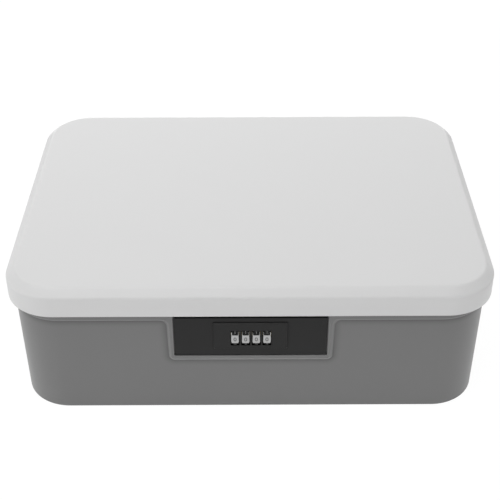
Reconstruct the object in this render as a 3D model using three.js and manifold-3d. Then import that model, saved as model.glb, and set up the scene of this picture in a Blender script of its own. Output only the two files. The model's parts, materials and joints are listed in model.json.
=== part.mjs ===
// Document safe: a tapered moulded box for A4 papers, with a hinged lid and a four-dial sliding lock.
// Millimetres, +Z up, the lock faces -Y. The origin lies under the middle of the closed box, on the
// surface that it stands on. At rest the lid is closed, the code is set and the lock slide is released.

import * as THREE from "three";
import { mergeVertices } from "three/addons/utils/BufferGeometryUtils.js";
import Module from "manifold-3d";

const wasm = await Module();
wasm.setup();

// Clearances
const fitGap = 0.3; // between pieces that seat on each other
const slideGap = 0.4; // between the lock slide and what guides it
const screwGap = 0.15; // between a screw and its hole
const runGap = 0.6; // between pieces that pass each other

// Lid
const lidWidth = 370;
const lidDepth = 278;
const lidCornerRadius = 39;
const lidTop = 117;
const bevelHeight = 6;
const bevelInset = 6.5;
const skirtHeight = 16.5;
const creaseRadius = 3.5;
const lidWall = 2.4;
const seatRibWidth = 2;

// Body
const bodyInset = 4.4; // body wall behind the lid's face, at the skirt's lower edge
const bodyDraft = 1.5; // how far each wall leans in from there to the floor
const bodyCornerRadius = 38;
const bodyWall = 2.5;
const bodyEdgeRadius = 1.6;
const floorFillet = 1;
const footRingWidth = 8;
const footRecess = 1;
const rimDrop = 2.5; // rim below the top of the skirt
const bandProud = 0.8;
const bandStep = 1;
const bandBelowSkirt = 6.3;
const bandEdgeRadius = 0.5;

// Hinges
const hingeAxisInset = 0.6; // axis in front of the lid's back face
const hingeAxisDrop = 2; // axis below the skirt's lower edge
const hingeEndInset = 90;
const knuckleRadius = 3;
const knuckleLength = 11.6;
const knuckleSpace = 0.5;
const knuckleCount = 5;
const hingePinRadius = 1.25;
const pinHeadRadius = 2.2;
const pinHeadLength = 0.8;

// Frame and faceplate of the lock
const plateX = 0.4;
const plateWidth = 115;
const plateThickness = 1.5;
const plateBelowSkirt = 4.5;
const plateRecess = 0.4; // plate behind the frame's face
const plateGap = 0.7; // beside and below the plate, inside the frame
const plateTopGap = 1.8;
const frameSideWidth = 3.9;
const frameTaper = 0.6; // how far each side of the frame leans in at its foot
const frameFootHeight = 4.4;
const frameBelowSkirt = 45;
const frameFootRadius = 4.5;
const frameNeckRadius = 5.5;
const frameBevelWidth = 2;
const frameBevelReach = 1.2;
const seatThickness = 4.5;
const seatMargin = 6;

// Slide block
const slideX = 0.25;
const slideTravel = 5;
const blockWidth = 56.5;
const blockHeight = 24.6;
const blockProud = 1.5;
const blockBelowAxis = 10.7;
const blockBevelWidth = 0.85;
const blockBevelReach = 1;
const blockCornerRadius = 1;
const blockCoverSide = 0.5; // how far the block still covers its opening at both ends of its travel
const blockCoverTop = 1.7;

// Dials
const dialX = 0.65;
const dialCount = 4;
const dialPitch = 8;
const dialWidth = 5.8;
const dialRadius = 11;
const dialFaces = 10;
const dialChamfer = 0.5;
const dialProud = 2.13; // corner circle of a dial in front of the block
const dialAxisBelowSkirt = 22.5;
const windowSideGap = 0.4;
const windowEndGap = 0.3;

// Code sleeves and the toothed shaft inside them
const sleeveRadius = 5;
const chamberRadius = 3.8;
const webThickness = 1.5;
const webOffset = 2.4; // web left of the dial's middle
const shaftRadius = 2;
const toothReach = 3.4;
const toothThickness = 1.5;
const toothWidth = 2.2;
const keyReach = 6.2;
const keyWidth = 1.6;
const keyStart = 1.1; // left end of the key, from the sleeve's left end
const keyLength = 1.7;
const dialNotchDepth = 2; // how deep the key's notches run into a dial's left side
const dialRecessGap = 0.8; // round the key, in a dial's inner recess
const dialRecessWall = 1.3; // what is left of the dial right of its inner recess
const notchGap = 0.25;
const shaftHeadRadius = 3;
const shaftHeadLength = 0.9;
const shaftFlatHeight = 3.6;
const shaftFlatLength = 3.4;

// Slide carrier
const pocketGap = 0.6; // round a dial
const carrierTopBar = 3.2;
const carrierFloorBar = 1.4;
const carrierBackBar = 1.8;
const carrierRib = 1.6;
const endPlate = 2;
const springRoom = 4.85;
const flangeThickness = 2;
const flangeLip = 2;
const leafThickness = 0.4;
const leafWidth = 4;
const leafHeight = 13;
const leafBase = 3.5;

// Reset slider and spring
const resetTravel = 2.2;
const collarRoom = 4.35;
const collarRadius = 6.5;
const collarThickness = 1.5;
const tabThickness = 2.8;
const tabHeight = 5;
const tabStandOut = 1.5;
const tabSlotGap = 0.6;
const springRadius = 4.2;
const springWire = 0.7;
const springTurns = 3;

// Latch plate and strike
const latchThickness = 1.4;
const latchWidth = 41;
const latchDepth = 6;
const latchWallThickness = 1.6;
const strikeBehindAxis = 2.8;
const strikeThickness = 1.6;
const hookSpread = 36;
const hookX = -14;
const footLength = 5;
const footHeight = 2.6;
const footClearance = 2;
const legWidth = 4;
const lugLength = 4;
const lugThickness = 1.6;
const lugHeadroom = 3.4;
const strikeFlangeThickness = 1.4;
const strikeFlangeDepth = 12;
const strikeFlangeOverhang = 6;
const strikeBossHeight = 3;
const strikeSlotGap = 0.8;
const strikeSlotSwing = 1.2; // room for the hooks to swing as the lid starts to open

// Housing and back cover
const housingWall = 2;
const housingSideRoom = 2.2;
const housingBackRoom = 1.2;
const postRadius = 3.2;
const postInset = 3.8;
const postOverlap = 0.6; // how far a post runs into the housing's wall
const coverThickness = 2;
const coverMargin = 1.5;
const coverCornerRadius = 3;

// Screws
const screwRadius = 1.1;
const screwHeadRadius = 2.1;
const screwHeadHeight = 1.3;
const screwSlotWidth = 0.5;
const screwSlotDepth = 0.6;
const screwSlotLength = 2.9;
const plateScrewSideMargin = 7.5; // from the plate's left and right ends
const plateScrewMargin = 6; // from its top and bottom
const plateBossRadius = 2.8;
const plateBossLength = 2.2;
const plateScrewLength = 5.8;
const coverScrewLength = 8;
const carrierScrewLength = 4.6;
const latchScrewLength = 3.6;
const strikeScrewLength = 5.6;
const strikeScrewSpread = 30;

// Facets
const cornerSteps = 8;
const arcSteps = 2;
const roundSides = 18;
const smallSides = 10;
const springSteps = 8;
const springSides = 5;
const mergeDistance = 1e-4;

// Heights that several pieces share
const skirtTop = lidTop - bevelHeight;
const skirtBottom = skirtTop - skirtHeight;
const lidUnderside = lidTop - lidWall;
const rimTop = skirtTop - rimDrop;
const bandBottom = skirtBottom - bandBelowSkirt;
const bandInset = bodyInset - bandProud;
const boxFloor = footRecess + bodyWall;
const hingeAxisZ = skirtBottom - hingeAxisDrop;
const dialAxisZ = skirtBottom - dialAxisBelowSkirt;
const plateTop = skirtBottom - plateBelowSkirt;
const frameBottom = skirtBottom - frameBelowSkirt;
const recessBottom = frameBottom + frameFootHeight;
const plateBottom = recessBottom + plateGap;
const recessTop = plateTop + plateTopGap;
const blockBottom = dialAxisZ - blockBelowAxis;
const blockTop = blockBottom + blockHeight;

// Depths of the lock, front to back, with the middle of the lid at 0
const bandFace = -lidDepth / 2 + bandInset;
const plateFace = bandFace + plateRecess;
const plateBack = plateFace + plateThickness;
const seatFace = plateBack + fitGap;
const seatBack = seatFace + seatThickness;
const blockFace = plateFace - blockProud;
const blockUnder = plateFace - fitGap;
const neckBack = plateBack + slideGap;
const dialAxisY = blockFace - dialProud + dialRadius;
const flangeFront = neckBack + fitGap;
const carrierFront = flangeFront + flangeThickness;
const leafFront = dialAxisY + dialRadius + fitGap;
const leafSlotBack = leafFront + leafThickness + fitGap;
const carrierBack = leafSlotBack + carrierBackBar;
const housingBack = carrierBack + housingBackRoom;
const coverFront = housingBack + fitGap;
const coverBack = coverFront + coverThickness;
const strikeFront = dialAxisY + strikeBehindAxis;
const strikeBack = strikeFront + strikeThickness;
const latchWallFront = strikeBack + runGap;
const latchWallBack = latchWallFront + latchWallThickness;
const hingeAxisY = lidDepth / 2 - hingeAxisInset;

// Places of the lock's pieces from left to right
const dialPlaces = [...Array(dialCount).keys()];
const dialCentres = dialPlaces.map((place) => dialX + (place - (dialCount - 1) / 2) * dialPitch);
const firstDial = dialCentres[0];
const lastDial = dialCentres[dialCount - 1];
const sleeveLength = dialPitch - fitGap;
const ribCentres = [firstDial - dialPitch / 2, ...dialCentres.map((x) => x + dialPitch / 2)];
const collarLeft = ribCentres[0] - carrierRib / 2 - collarRoom;
const carrierLeft = collarLeft - endPlate;
const springStart = lastDial + sleeveLength / 2 + fitGap;
const springEnd = ribCentres[dialCount] + carrierRib / 2 + springRoom;
const carrierRight = springEnd + endPlate;
const flangeLeft = carrierLeft - flangeLip;
const flangeRight = carrierRight + flangeLip;
const tabRight = carrierLeft - resetTravel - runGap;
const tabLeft = tabRight - tabThickness;
const housingLeft = tabLeft - housingSideRoom;
const housingRight = flangeRight + slideTravel + housingSideRoom;
const openingLeft = slideX + slideTravel - blockWidth / 2 + blockCoverSide;
const openingRight = slideX + blockWidth / 2 - blockCoverSide;
const neckLeft = openingLeft + slideGap;
const neckRight = openingRight - slideTravel - slideGap;
const hooks = [hookX, hookX + hookSpread];
const strikeX = hookX + (hookSpread + legWidth - footLength) / 2;
const strikeHalf = (hookSpread + legWidth + footLength) / 2 + strikeFlangeOverhang;

// Heights of the slide's guides, the latch and the housing
const dialSweepAtPlate = Math.sqrt(dialRadius ** 2 - (dialAxisY - plateBack) ** 2);
const openingBottom = dialAxisZ - dialSweepAtPlate - windowEndGap;
const openingTop = blockTop - blockCoverTop;
const windowHalfHeight = Math.sqrt(dialRadius ** 2 - (dialRadius - dialProud) ** 2) + windowEndGap;
const pocketRadius = dialRadius + pocketGap;
const carrierTop = dialAxisZ + pocketRadius + carrierTopBar;
const carrierBottom = dialAxisZ - pocketRadius - carrierFloorBar;
const latchBottom = carrierTop + fitGap;
const hookBottom = latchBottom + latchThickness + footClearance;
const lugBottom = hookBottom + footHeight + slideGap;
const lugTop = lugBottom + lugThickness;
const housingFloor = carrierBottom - fitGap;
const housingCeiling = lugTop + lugHeadroom;
const housingTop = housingCeiling + housingWall;
const strikeFlangeTop = lidUnderside - strikeBossHeight - fitGap;
const strikeFlangeBottom = strikeFlangeTop - strikeFlangeThickness;

// Screw places
const plateScrewReach = plateWidth / 2 - plateScrewSideMargin;
const plateScrewXs = about(plateX, plateScrewReach);
const plateScrewZs = [plateBottom + plateScrewMargin, plateTop - plateScrewMargin];
const postOut = housingWall + postRadius - postOverlap;
const coverScrewXs = [housingLeft - postOut, housingRight + postOut];
const coverScrewZs = [housingFloor + postInset, housingCeiling - postInset];
const dialRowEnds = [firstDial - dialWidth / 2, lastDial + dialWidth / 2];
const carrierScrewXs = [(neckLeft + dialRowEnds[0]) / 2, (neckRight + dialRowEnds[1]) / 2];
const carrierScrewZ = openingTop - slideGap - screwRadius - runGap;
const latchScrewXs = [ribCentres[1], ribCentres[dialCount - 1]];
const latchScrewY = latchWallFront - latchDepth / 2;
const strikeScrewXs = [strikeX - strikeScrewSpread / 2, strikeX + strikeScrewSpread / 2];
const strikeScrewY = strikeBack + strikeFlangeDepth / 2;

// The two ends of a span about its middle.
function about(middle, half) {
  return [middle - half, middle + half];
}

// A closed three.js geometry as a manifold solid with its faces pointing out.
function solid(geometry) {
  const bare = geometry.clone();
  bare.deleteAttribute("normal");
  bare.deleteAttribute("uv");
  const merged = mergeVertices(bare, mergeDistance);
  const vertProperties = new Float32Array(merged.attributes.position.array);
  const triVerts = new Uint32Array(merged.index.array);
  const made = new wasm.Manifold(new wasm.Mesh({ numProp: 3, vertProperties, triVerts }));
  if (made.volume() > 0) return made;
  for (let i = 0; i < triVerts.length; i += 3) {
    [triVerts[i + 1], triVerts[i + 2]] = [triVerts[i + 2], triVerts[i + 1]];
  }
  return new wasm.Manifold(new wasm.Mesh({ numProp: 3, vertProperties, triVerts }));
}

// Joins a list of solids.
function joined(...solids) {
  return solids.flat().reduce((sum, next) => sum.add(next));
}

// Cuts a list of solids away from one.
function cut(base, ...tools) {
  return tools.flat().reduce((rest, tool) => rest.subtract(tool), base);
}

// A block between two values on each axis.
function block([x0, x1], [y0, y1], [z0, z1]) {
  const geometry = new THREE.BoxGeometry(x1 - x0, y1 - y0, z1 - z0);
  return solid(geometry.translate((x0 + x1) / 2, (y0 + y1) / 2, (z0 + z1) / 2));
}

// A round bar along X, Y or Z, from one value on that axis to another, through a point.
function rod(axis, radius, [from, to], [x, y, z], sides = roundSides) {
  const geometry = new THREE.CylinderGeometry(radius, radius, to - from, sides);
  const middle = (from + to) / 2;
  if (axis === "x") return solid(geometry.rotateZ(Math.PI / 2).translate(middle, y, z));
  if (axis === "y") return solid(geometry.translate(x, middle, z));
  return solid(geometry.rotateX(Math.PI / 2).translate(x, y, middle));
}

// The hole that a screw runs in.
function screwHole(axis, span, place) {
  return rod(axis, screwRadius + screwGap, span, place, smallSides);
}

// A body turned about X from an outline of [radius, x] points, which starts and ends on the axis.
function turned(outline, sides = roundSides) {
  const points = outline.map(([radius, x]) => new THREE.Vector2(radius, x));
  return solid(new THREE.LatheGeometry(points, sides).rotateZ(-Math.PI / 2));
}

// A flat shape in X and Z, given depth along Y, with its front edges bevelled and its back cut flat.
function frontShape(shape, [front, back], [width, reach] = [0, 0]) {
  const geometry = new THREE.ExtrudeGeometry(shape, {
    depth: back - front - reach,
    bevelEnabled: reach > 0,
    bevelThickness: reach,
    bevelSize: width,
    bevelOffset: -width,
    bevelSegments: 1,
    curveSegments: arcSteps * 2,
  });
  const made = solid(geometry.rotateX(Math.PI / 2).translate(0, back, 0));
  if (reach === 0) return made;
  return cut(made, block([-lidWidth, lidWidth], [back, lidDepth], [-lidWidth, lidWidth]));
}

// A rectangle in X and Z with round corners.
function roundedRectangle([x0, x1], [z0, z1], radius) {
  const shape = new THREE.Shape();
  shape.moveTo(x0 + radius, z0);
  shape.lineTo(x1 - radius, z0);
  shape.absarc(x1 - radius, z0 + radius, radius, -Math.PI / 2, 0);
  shape.lineTo(x1, z1 - radius);
  shape.absarc(x1 - radius, z1 - radius, radius, 0, Math.PI / 2);
  shape.lineTo(x0 + radius, z1);
  shape.absarc(x0 + radius, z1 - radius, radius, Math.PI / 2, Math.PI);
  shape.lineTo(x0, z0 + radius);
  shape.absarc(x0 + radius, z0 + radius, radius, Math.PI, Math.PI * 1.5);
  return shape;
}

// An open outline of [inset, height, radius] corners, each corner with a radius turned into an arc.
function softened(corners) {
  return corners.flatMap(([inset, height, radius = 0], i) => {
    const here = new THREE.Vector2(inset, height);
    if (radius === 0) return [here];
    const back = new THREE.Vector2(...corners[i - 1].slice(0, 2)).sub(here).normalize();
    const ahead = new THREE.Vector2(...corners[i + 1].slice(0, 2)).sub(here).normalize();
    const halfAngle = Math.acos(back.dot(ahead)) / 2;
    const reach = radius / Math.tan(halfAngle);
    const inward = back.clone().add(ahead).normalize();
    const centre = here.clone().addScaledVector(inward, radius / Math.sin(halfAngle));
    const start = here.clone().addScaledVector(back, reach).sub(centre);
    const end = here.clone().addScaledVector(ahead, reach).sub(centre);
    const turn = Math.atan2(start.cross(end), start.dot(end));
    return Array.from({ length: arcSteps + 1 }, (_, step) =>
      start.clone().rotateAround(new THREE.Vector2(), (turn * step) / arcSteps).add(centre),
    );
  });
}

// A stack of rounded rectangles: each [inset, height] point of the outline is one ring, set in from the
// lid's own width and depth, and the corner radius shrinks with the inset.
function roundedStack(corners, cornerRadius) {
  const rings = softened(corners);
  const centreX = lidWidth / 2 - cornerRadius;
  const centreY = lidDepth / 2 - cornerRadius;
  const ringSize = 4 * (cornerSteps + 1);
  const positions = [];
  for (const { x: inset, y: height } of rings) {
    for (let i = 0; i < ringSize; i++) {
      const corner = Math.floor(i / (cornerSteps + 1));
      const angle = (Math.PI / 2) * (corner + (i % (cornerSteps + 1)) / cornerSteps);
      const sideX = corner === 0 || corner === 3 ? 1 : -1;
      const sideY = corner < 2 ? 1 : -1;
      const radius = cornerRadius - inset;
      positions.push(sideX * centreX + radius * Math.cos(angle));
      positions.push(sideY * centreY + radius * Math.sin(angle));
      positions.push(height);
    }
  }
  const bottomCentre = rings.length * ringSize;
  const topCentre = bottomCentre + 1;
  positions.push(0, 0, rings[0].y, 0, 0, rings[rings.length - 1].y);
  const faces = [];
  for (let i = 0; i < ringSize; i++) {
    const next = (i + 1) % ringSize;
    for (let level = 0; level < rings.length - 1; level++) {
      const low = level * ringSize;
      const high = low + ringSize;
      faces.push(low + i, low + next, high + next, low + i, high + next, high + i);
    }
    const last = (rings.length - 1) * ringSize;
    faces.push(bottomCentre, next, i, topCentre, last + i, last + next);
  }
  const geometry = new THREE.BufferGeometry();
  geometry.setAttribute("position", new THREE.Float32BufferAttribute(positions, 3));
  geometry.setIndex(faces);
  return solid(geometry);
}

// How far the body's outer wall stands behind the lid's face at a height.
function wallInset(height) {
  return bodyInset + (bodyDraft * (skirtBottom - height)) / skirtBottom;
}

// The start and end of each knuckle of a hinge, from its left end, for the body (even) or the lid (odd).
function knuckleSpans(centre, parity) {
  const pitch = knuckleLength + knuckleSpace;
  const left = centre - (knuckleCount * pitch - knuckleSpace) / 2;
  const numbers = [...Array(knuckleCount).keys()].filter((number) => number % 2 === parity);
  return numbers.map((number) => [left + number * pitch, left + number * pitch + knuckleLength]);
}

const hingeCentres = [-lidWidth / 2 + hingeEndInset, lidWidth / 2 - hingeEndInset];
const bodyKnuckles = hingeCentres.flatMap((centre) => knuckleSpans(centre, 0));
const lidKnuckles = hingeCentres.flatMap((centre) => knuckleSpans(centre, 1));

// A bar round the hinge axis over one knuckle's span.
function aroundHinge(radius, span) {
  return rod("x", radius, span, [0, hingeAxisY, hingeAxisZ]);
}

// The hinge spans grown by the space between knuckles, for what has to clear them.
function grown([from, to]) {
  return [from - knuckleSpace, to + knuckleSpace];
}

// Where the head of a hinge pin lies, just beyond the outermost knuckle.
function pinHeadSpan(centre) {
  const spans = knuckleSpans(centre, 0);
  const right = spans[spans.length - 1][1] + fitGap;
  const left = spans[0][0] - fitGap - pinHeadLength;
  const start = centre > 0 ? right : left;
  return [start, start + pinHeadLength];
}

// The raised frame round the faceplate: straight sides that lean in slightly, round feet, and necks
// that flow into the band.
function frameShape() {
  const topHalf = plateWidth / 2 + plateGap + frameSideWidth + frameTaper;
  const [neckFrom, neckTo] = about(plateX, topHalf + frameNeckRadius);
  const neckTop = bandBottom + bandStep;
  const neckZ = neckTop - frameNeckRadius;
  const [footFrom, footTo] = about(plateX, topHalf - frameTaper - frameFootRadius);
  const footZ = frameBottom + frameFootRadius;
  const shape = new THREE.Shape();
  shape.moveTo(neckFrom, rimTop - bandStep);
  shape.lineTo(neckFrom, neckTop);
  shape.absarc(neckFrom, neckZ, frameNeckRadius, Math.PI / 2, 0, true);
  shape.lineTo(footFrom - frameFootRadius, footZ);
  shape.absarc(footFrom, footZ, frameFootRadius, Math.PI, Math.PI * 1.5);
  shape.absarc(footTo, footZ, frameFootRadius, Math.PI * 1.5, Math.PI * 2);
  shape.lineTo(neckTo - frameNeckRadius, neckZ);
  shape.absarc(neckTo, neckZ, frameNeckRadius, Math.PI, Math.PI / 2, true);
  shape.lineTo(neckTo, rimTop - bandStep);
  return shape;
}

// The lock housing inside the front wall: seat behind the plate, four walls and four screw posts.
function lockHousing() {
  const innerWall = bandFace + bodyWall;
  const seatX = about(plateX, plateWidth / 2 + seatMargin);
  const seatZ = [recessBottom - seatMargin, housingTop + seatMargin / 2];
  const depth = [seatBack - fitGap, housingBack];
  const outerX = [housingLeft - housingWall, housingRight + housingWall];
  const posts = coverScrewXs.flatMap((x) => coverScrewZs.map((z) => rod("y", postRadius, depth, [x, 0, z])));
  return joined(
    frontShape(frameShape(), [bandFace, innerWall], [frameBevelWidth, frameBevelReach]),
    block(seatX, [innerWall - bandProud, seatBack], seatZ),
    block([outerX[0], housingLeft], depth, [housingFloor - housingWall, housingTop]),
    block([housingRight, outerX[1]], depth, [housingFloor - housingWall, housingTop]),
    block(outerX, depth, [housingFloor - housingWall, housingFloor]),
    block(outerX, depth, [housingCeiling, housingTop]),
    posts,
  );
}

// What is cut out of the front wall and the housing for the lock.
function lockCuts() {
  const recessX = about(plateX, plateWidth / 2 + plateGap);
  const shaftSlot = about(dialAxisZ, shaftFlatHeight / 2 + fitGap);
  const slotDepth = [dialAxisY - shaftRadius - fitGap, housingBack + runGap];
  const slideRoom = [Math.min(flangeLeft, tabLeft) - runGap, flangeRight + slideTravel + runGap];
  const headReach = housingWall + shaftHeadLength + runGap;
  const troughX = [housingLeft - headReach, housingRight + headReach];
  const troughY = [dialAxisY - shaftHeadRadius - fitGap, seatBack];
  const troughZ = about(dialAxisZ, shaftHeadRadius + fitGap);
  const postHoleSpan = [housingBack - coverScrewLength - runGap, housingBack + runGap];
  const strikeSlots = hooks.map((x) =>
    block(
      [x - footLength - strikeSlotGap, x + legWidth + strikeSlotGap],
      [strikeFront - strikeSlotSwing, strikeBack + strikeSlotSwing],
      [housingCeiling - runGap, housingTop + runGap],
    ),
  );
  const postHoles = coverScrewXs.flatMap((x) =>
    coverScrewZs.map((z) => screwHole("y", postHoleSpan, [x, 0, z])),
  );
  const bossRoom = [seatFace - runGap, plateBack + plateBossLength + fitGap];
  const plateHoles = plateScrewXs.flatMap((x) =>
    plateScrewZs.map((z) =>
      joined(
        rod("y", plateBossRadius + fitGap, bossRoom, [x, 0, z]),
        screwHole("y", [seatFace, seatBack + runGap], [x, 0, z]),
      ),
    ),
  );
  return [
    block(recessX, [bandFace - runGap, seatFace], [recessBottom, recessTop]),
    block(slideRoom, [seatFace - runGap, seatBack + runGap], [housingFloor, carrierTop + fitGap]),
    block(troughX, troughY, troughZ),
    block([housingLeft - housingWall - runGap, housingLeft + runGap], slotDepth, shaftSlot),
    block([housingRight - runGap, housingRight + housingWall + runGap], slotDepth, shaftSlot),
    ...strikeSlots,
    ...postHoles,
    ...plateHoles,
  ];
}

// The tub: drafted walls with a band round the rim, a foot ring below, hinge knuckles and the housing.
function bodyTub() {
  const outerRadius = bodyCornerRadius + bodyInset;
  const outer = roundedStack(
    [
      [wallInset(0) + footRingWidth / 2, 0],
      [wallInset(0), 0, bodyEdgeRadius],
      [wallInset(bandBottom), bandBottom],
      [bandInset, bandBottom + bandStep, bandEdgeRadius],
      [bandInset, rimTop, bandEdgeRadius],
      [bandInset + bodyWall / 2, rimTop],
    ],
    outerRadius,
  );
  const inner = roundedStack(
    [
      [wallInset(boxFloor) + bodyWall + floorFillet * 2, boxFloor],
      [wallInset(boxFloor) + bodyWall, boxFloor, floorFillet],
      [wallInset(rimTop) + bodyWall, rimTop + runGap],
    ],
    outerRadius,
  );
  const footHollow = roundedStack(
    [
      [wallInset(0) + footRingWidth, -runGap],
      [wallInset(0) + footRingWidth, footRecess],
    ],
    outerRadius,
  );
  const arm = [
    [lidDepth / 2 - bodyInset - bodyWall / 2, hingeAxisY],
    [hingeAxisZ - knuckleRadius, hingeAxisZ + knuckleRadius / 2],
  ];
  const knuckles = bodyKnuckles.map((span) => joined(aroundHinge(knuckleRadius, span), block(span, ...arm)));
  const knuckleRoom = lidKnuckles.map((span) => aroundHinge(knuckleRadius + slideGap, grown(span)));
  const bores = bodyKnuckles.map((span) => aroundHinge(hingePinRadius + fitGap, grown(span)));
  const shell = cut(outer, inner, footHollow, knuckleRoom);
  return cut(joined(shell, lockHousing(), knuckles), lockCuts(), bores);
}

// The lid: bevelled top, skirt, a rib that seats on the body's rim, a boss for the strike and knuckles.
function lidShell() {
  const outer = roundedStack(
    [
      [0, skirtBottom],
      [0, skirtTop, creaseRadius],
      [bevelInset, lidTop, creaseRadius],
      [bevelInset * 2, lidTop],
    ],
    lidCornerRadius,
  );
  const slope = Math.atan2(bevelHeight, bevelInset);
  const innerCrease = skirtTop - lidWall * Math.tan((Math.PI / 2 - slope) / 2);
  const innerInset = lidWall + (lidUnderside - innerCrease) / Math.tan(slope);
  const inner = roundedStack(
    [
      [lidWall, skirtBottom - runGap],
      [lidWall, innerCrease],
      [innerInset, lidUnderside],
    ],
    lidCornerRadius,
  );
  const ribInset = bandInset + runGap;
  const ribHeights = [rimTop + fitGap, lidUnderside + fitGap];
  const withinRib = [ribHeights[0] - runGap, ribHeights[1] + runGap];
  const seatRib = cut(
    roundedStack(ribHeights.map((height) => [ribInset, height]), lidCornerRadius),
    roundedStack(withinRib.map((height) => [ribInset + seatRibWidth, height]), lidCornerRadius),
  );
  const bossBottom = lidUnderside - strikeBossHeight;
  const boss = block(
    about(strikeX, strikeHalf),
    [strikeFront, strikeBack + strikeFlangeDepth],
    [bossBottom, lidUnderside + fitGap],
  );
  const holeSpan = [bossBottom - runGap, strikeFlangeBottom + strikeScrewLength + screwGap];
  const screwHoles = strikeScrewXs.map((x) => screwHole("z", holeSpan, [x, strikeScrewY, 0]));
  const knuckles = lidKnuckles.map((span) =>
    joined(
      aroundHinge(knuckleRadius, span),
      block(span, [lidDepth / 2 - lidWall, lidDepth / 2], [hingeAxisZ, skirtBottom + lidWall / 2]),
    ),
  );
  const knuckleRoom = bodyKnuckles.map((span) => aroundHinge(knuckleRadius + slideGap, grown(span)));
  const headSpans = hingeCentres.map((centre) => grown(pinHeadSpan(centre)));
  const headRoom = headSpans.map((span) => aroundHinge(pinHeadRadius + slideGap, span));
  const bores = lidKnuckles.map((span) => aroundHinge(hingePinRadius + fitGap, grown(span)));
  return cut(joined(cut(outer, inner), seatRib, boss, knuckles), knuckleRoom, headRoom, bores, screwHoles);
}

// A hinge pin through one set of knuckles, with a head at its outer end.
function hingePin(centre) {
  const spans = knuckleSpans(centre, 0);
  const reach = [spans[0][0] - fitGap, spans[spans.length - 1][1] + fitGap];
  return joined(aroundHinge(hingePinRadius, reach), aroundHinge(pinHeadRadius, pinHeadSpan(centre)));
}

// The black plate, with locating bosses behind it and the opening that the slide runs in.
function lockFaceplate() {
  const plate = block(about(plateX, plateWidth / 2), [plateFace, plateBack], [plateBottom, plateTop]);
  const places = plateScrewXs.flatMap((x) => plateScrewZs.map((z) => [x, 0, z]));
  const bossSpan = [plateBack - plateThickness / 2, plateBack + plateBossLength];
  const bosses = places.map((place) => rod("y", plateBossRadius, bossSpan, place));
  const screwTip = seatBack + fitGap - plateScrewLength;
  const holes = places.map((place) => screwHole("y", [screwTip - screwGap, bossSpan[1] + runGap], place));
  const throughPlate = [plateFace - runGap, plateBack + runGap];
  const opening = block([openingLeft, openingRight], throughPlate, [openingBottom, openingTop]);
  return cut(joined(plate, bosses), opening, holes);
}

// The room that the dials need: one round pocket for each, as wide as the dial and its side gap.
function dialPockets(radius, sideGap) {
  const half = dialWidth / 2 + sideGap;
  return dialCentres.map((x) => rod("x", radius, about(x, half), [0, dialAxisY, dialAxisZ]));
}

// The visible raised face with its four windows, and the neck that passes through the plate.
function slideBlock() {
  const outline = roundedRectangle(about(slideX, blockWidth / 2), [blockBottom, blockTop], blockCornerRadius);
  const face = frontShape(outline, [blockFace, blockUnder], [blockBevelWidth, blockBevelReach]);
  const neckHeights = [openingBottom + slideGap, openingTop - slideGap];
  const neck = block([neckLeft, neckRight], [blockUnder - fitGap, neckBack], neckHeights);
  const through = [blockFace - runGap, neckBack + runGap];
  const windowHeights = about(dialAxisZ, windowHalfHeight);
  const windowHalf = dialWidth / 2 + windowSideGap;
  const windows = dialCentres.map((x) => block(about(x, windowHalf), through, windowHeights));
  const screwTip = carrierFront + fitGap - carrierScrewLength;
  const holeSpan = [screwTip - screwGap, neckBack + runGap];
  const holes = carrierScrewXs.map((x) => screwHole("y", holeSpan, [x, 0, carrierScrewZ]));
  const sweep = dialPockets(dialRadius + windowEndGap, windowSideGap);
  const reliefSpan = [collarLeft - runGap, collarLeft + collarRoom];
  const collarRelief = rod("x", collarRadius + pocketGap, reliefSpan, [0, dialAxisY, dialAxisZ]);
  return cut(joined(face, neck), windows, sweep, collarRelief, holes);
}

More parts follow.
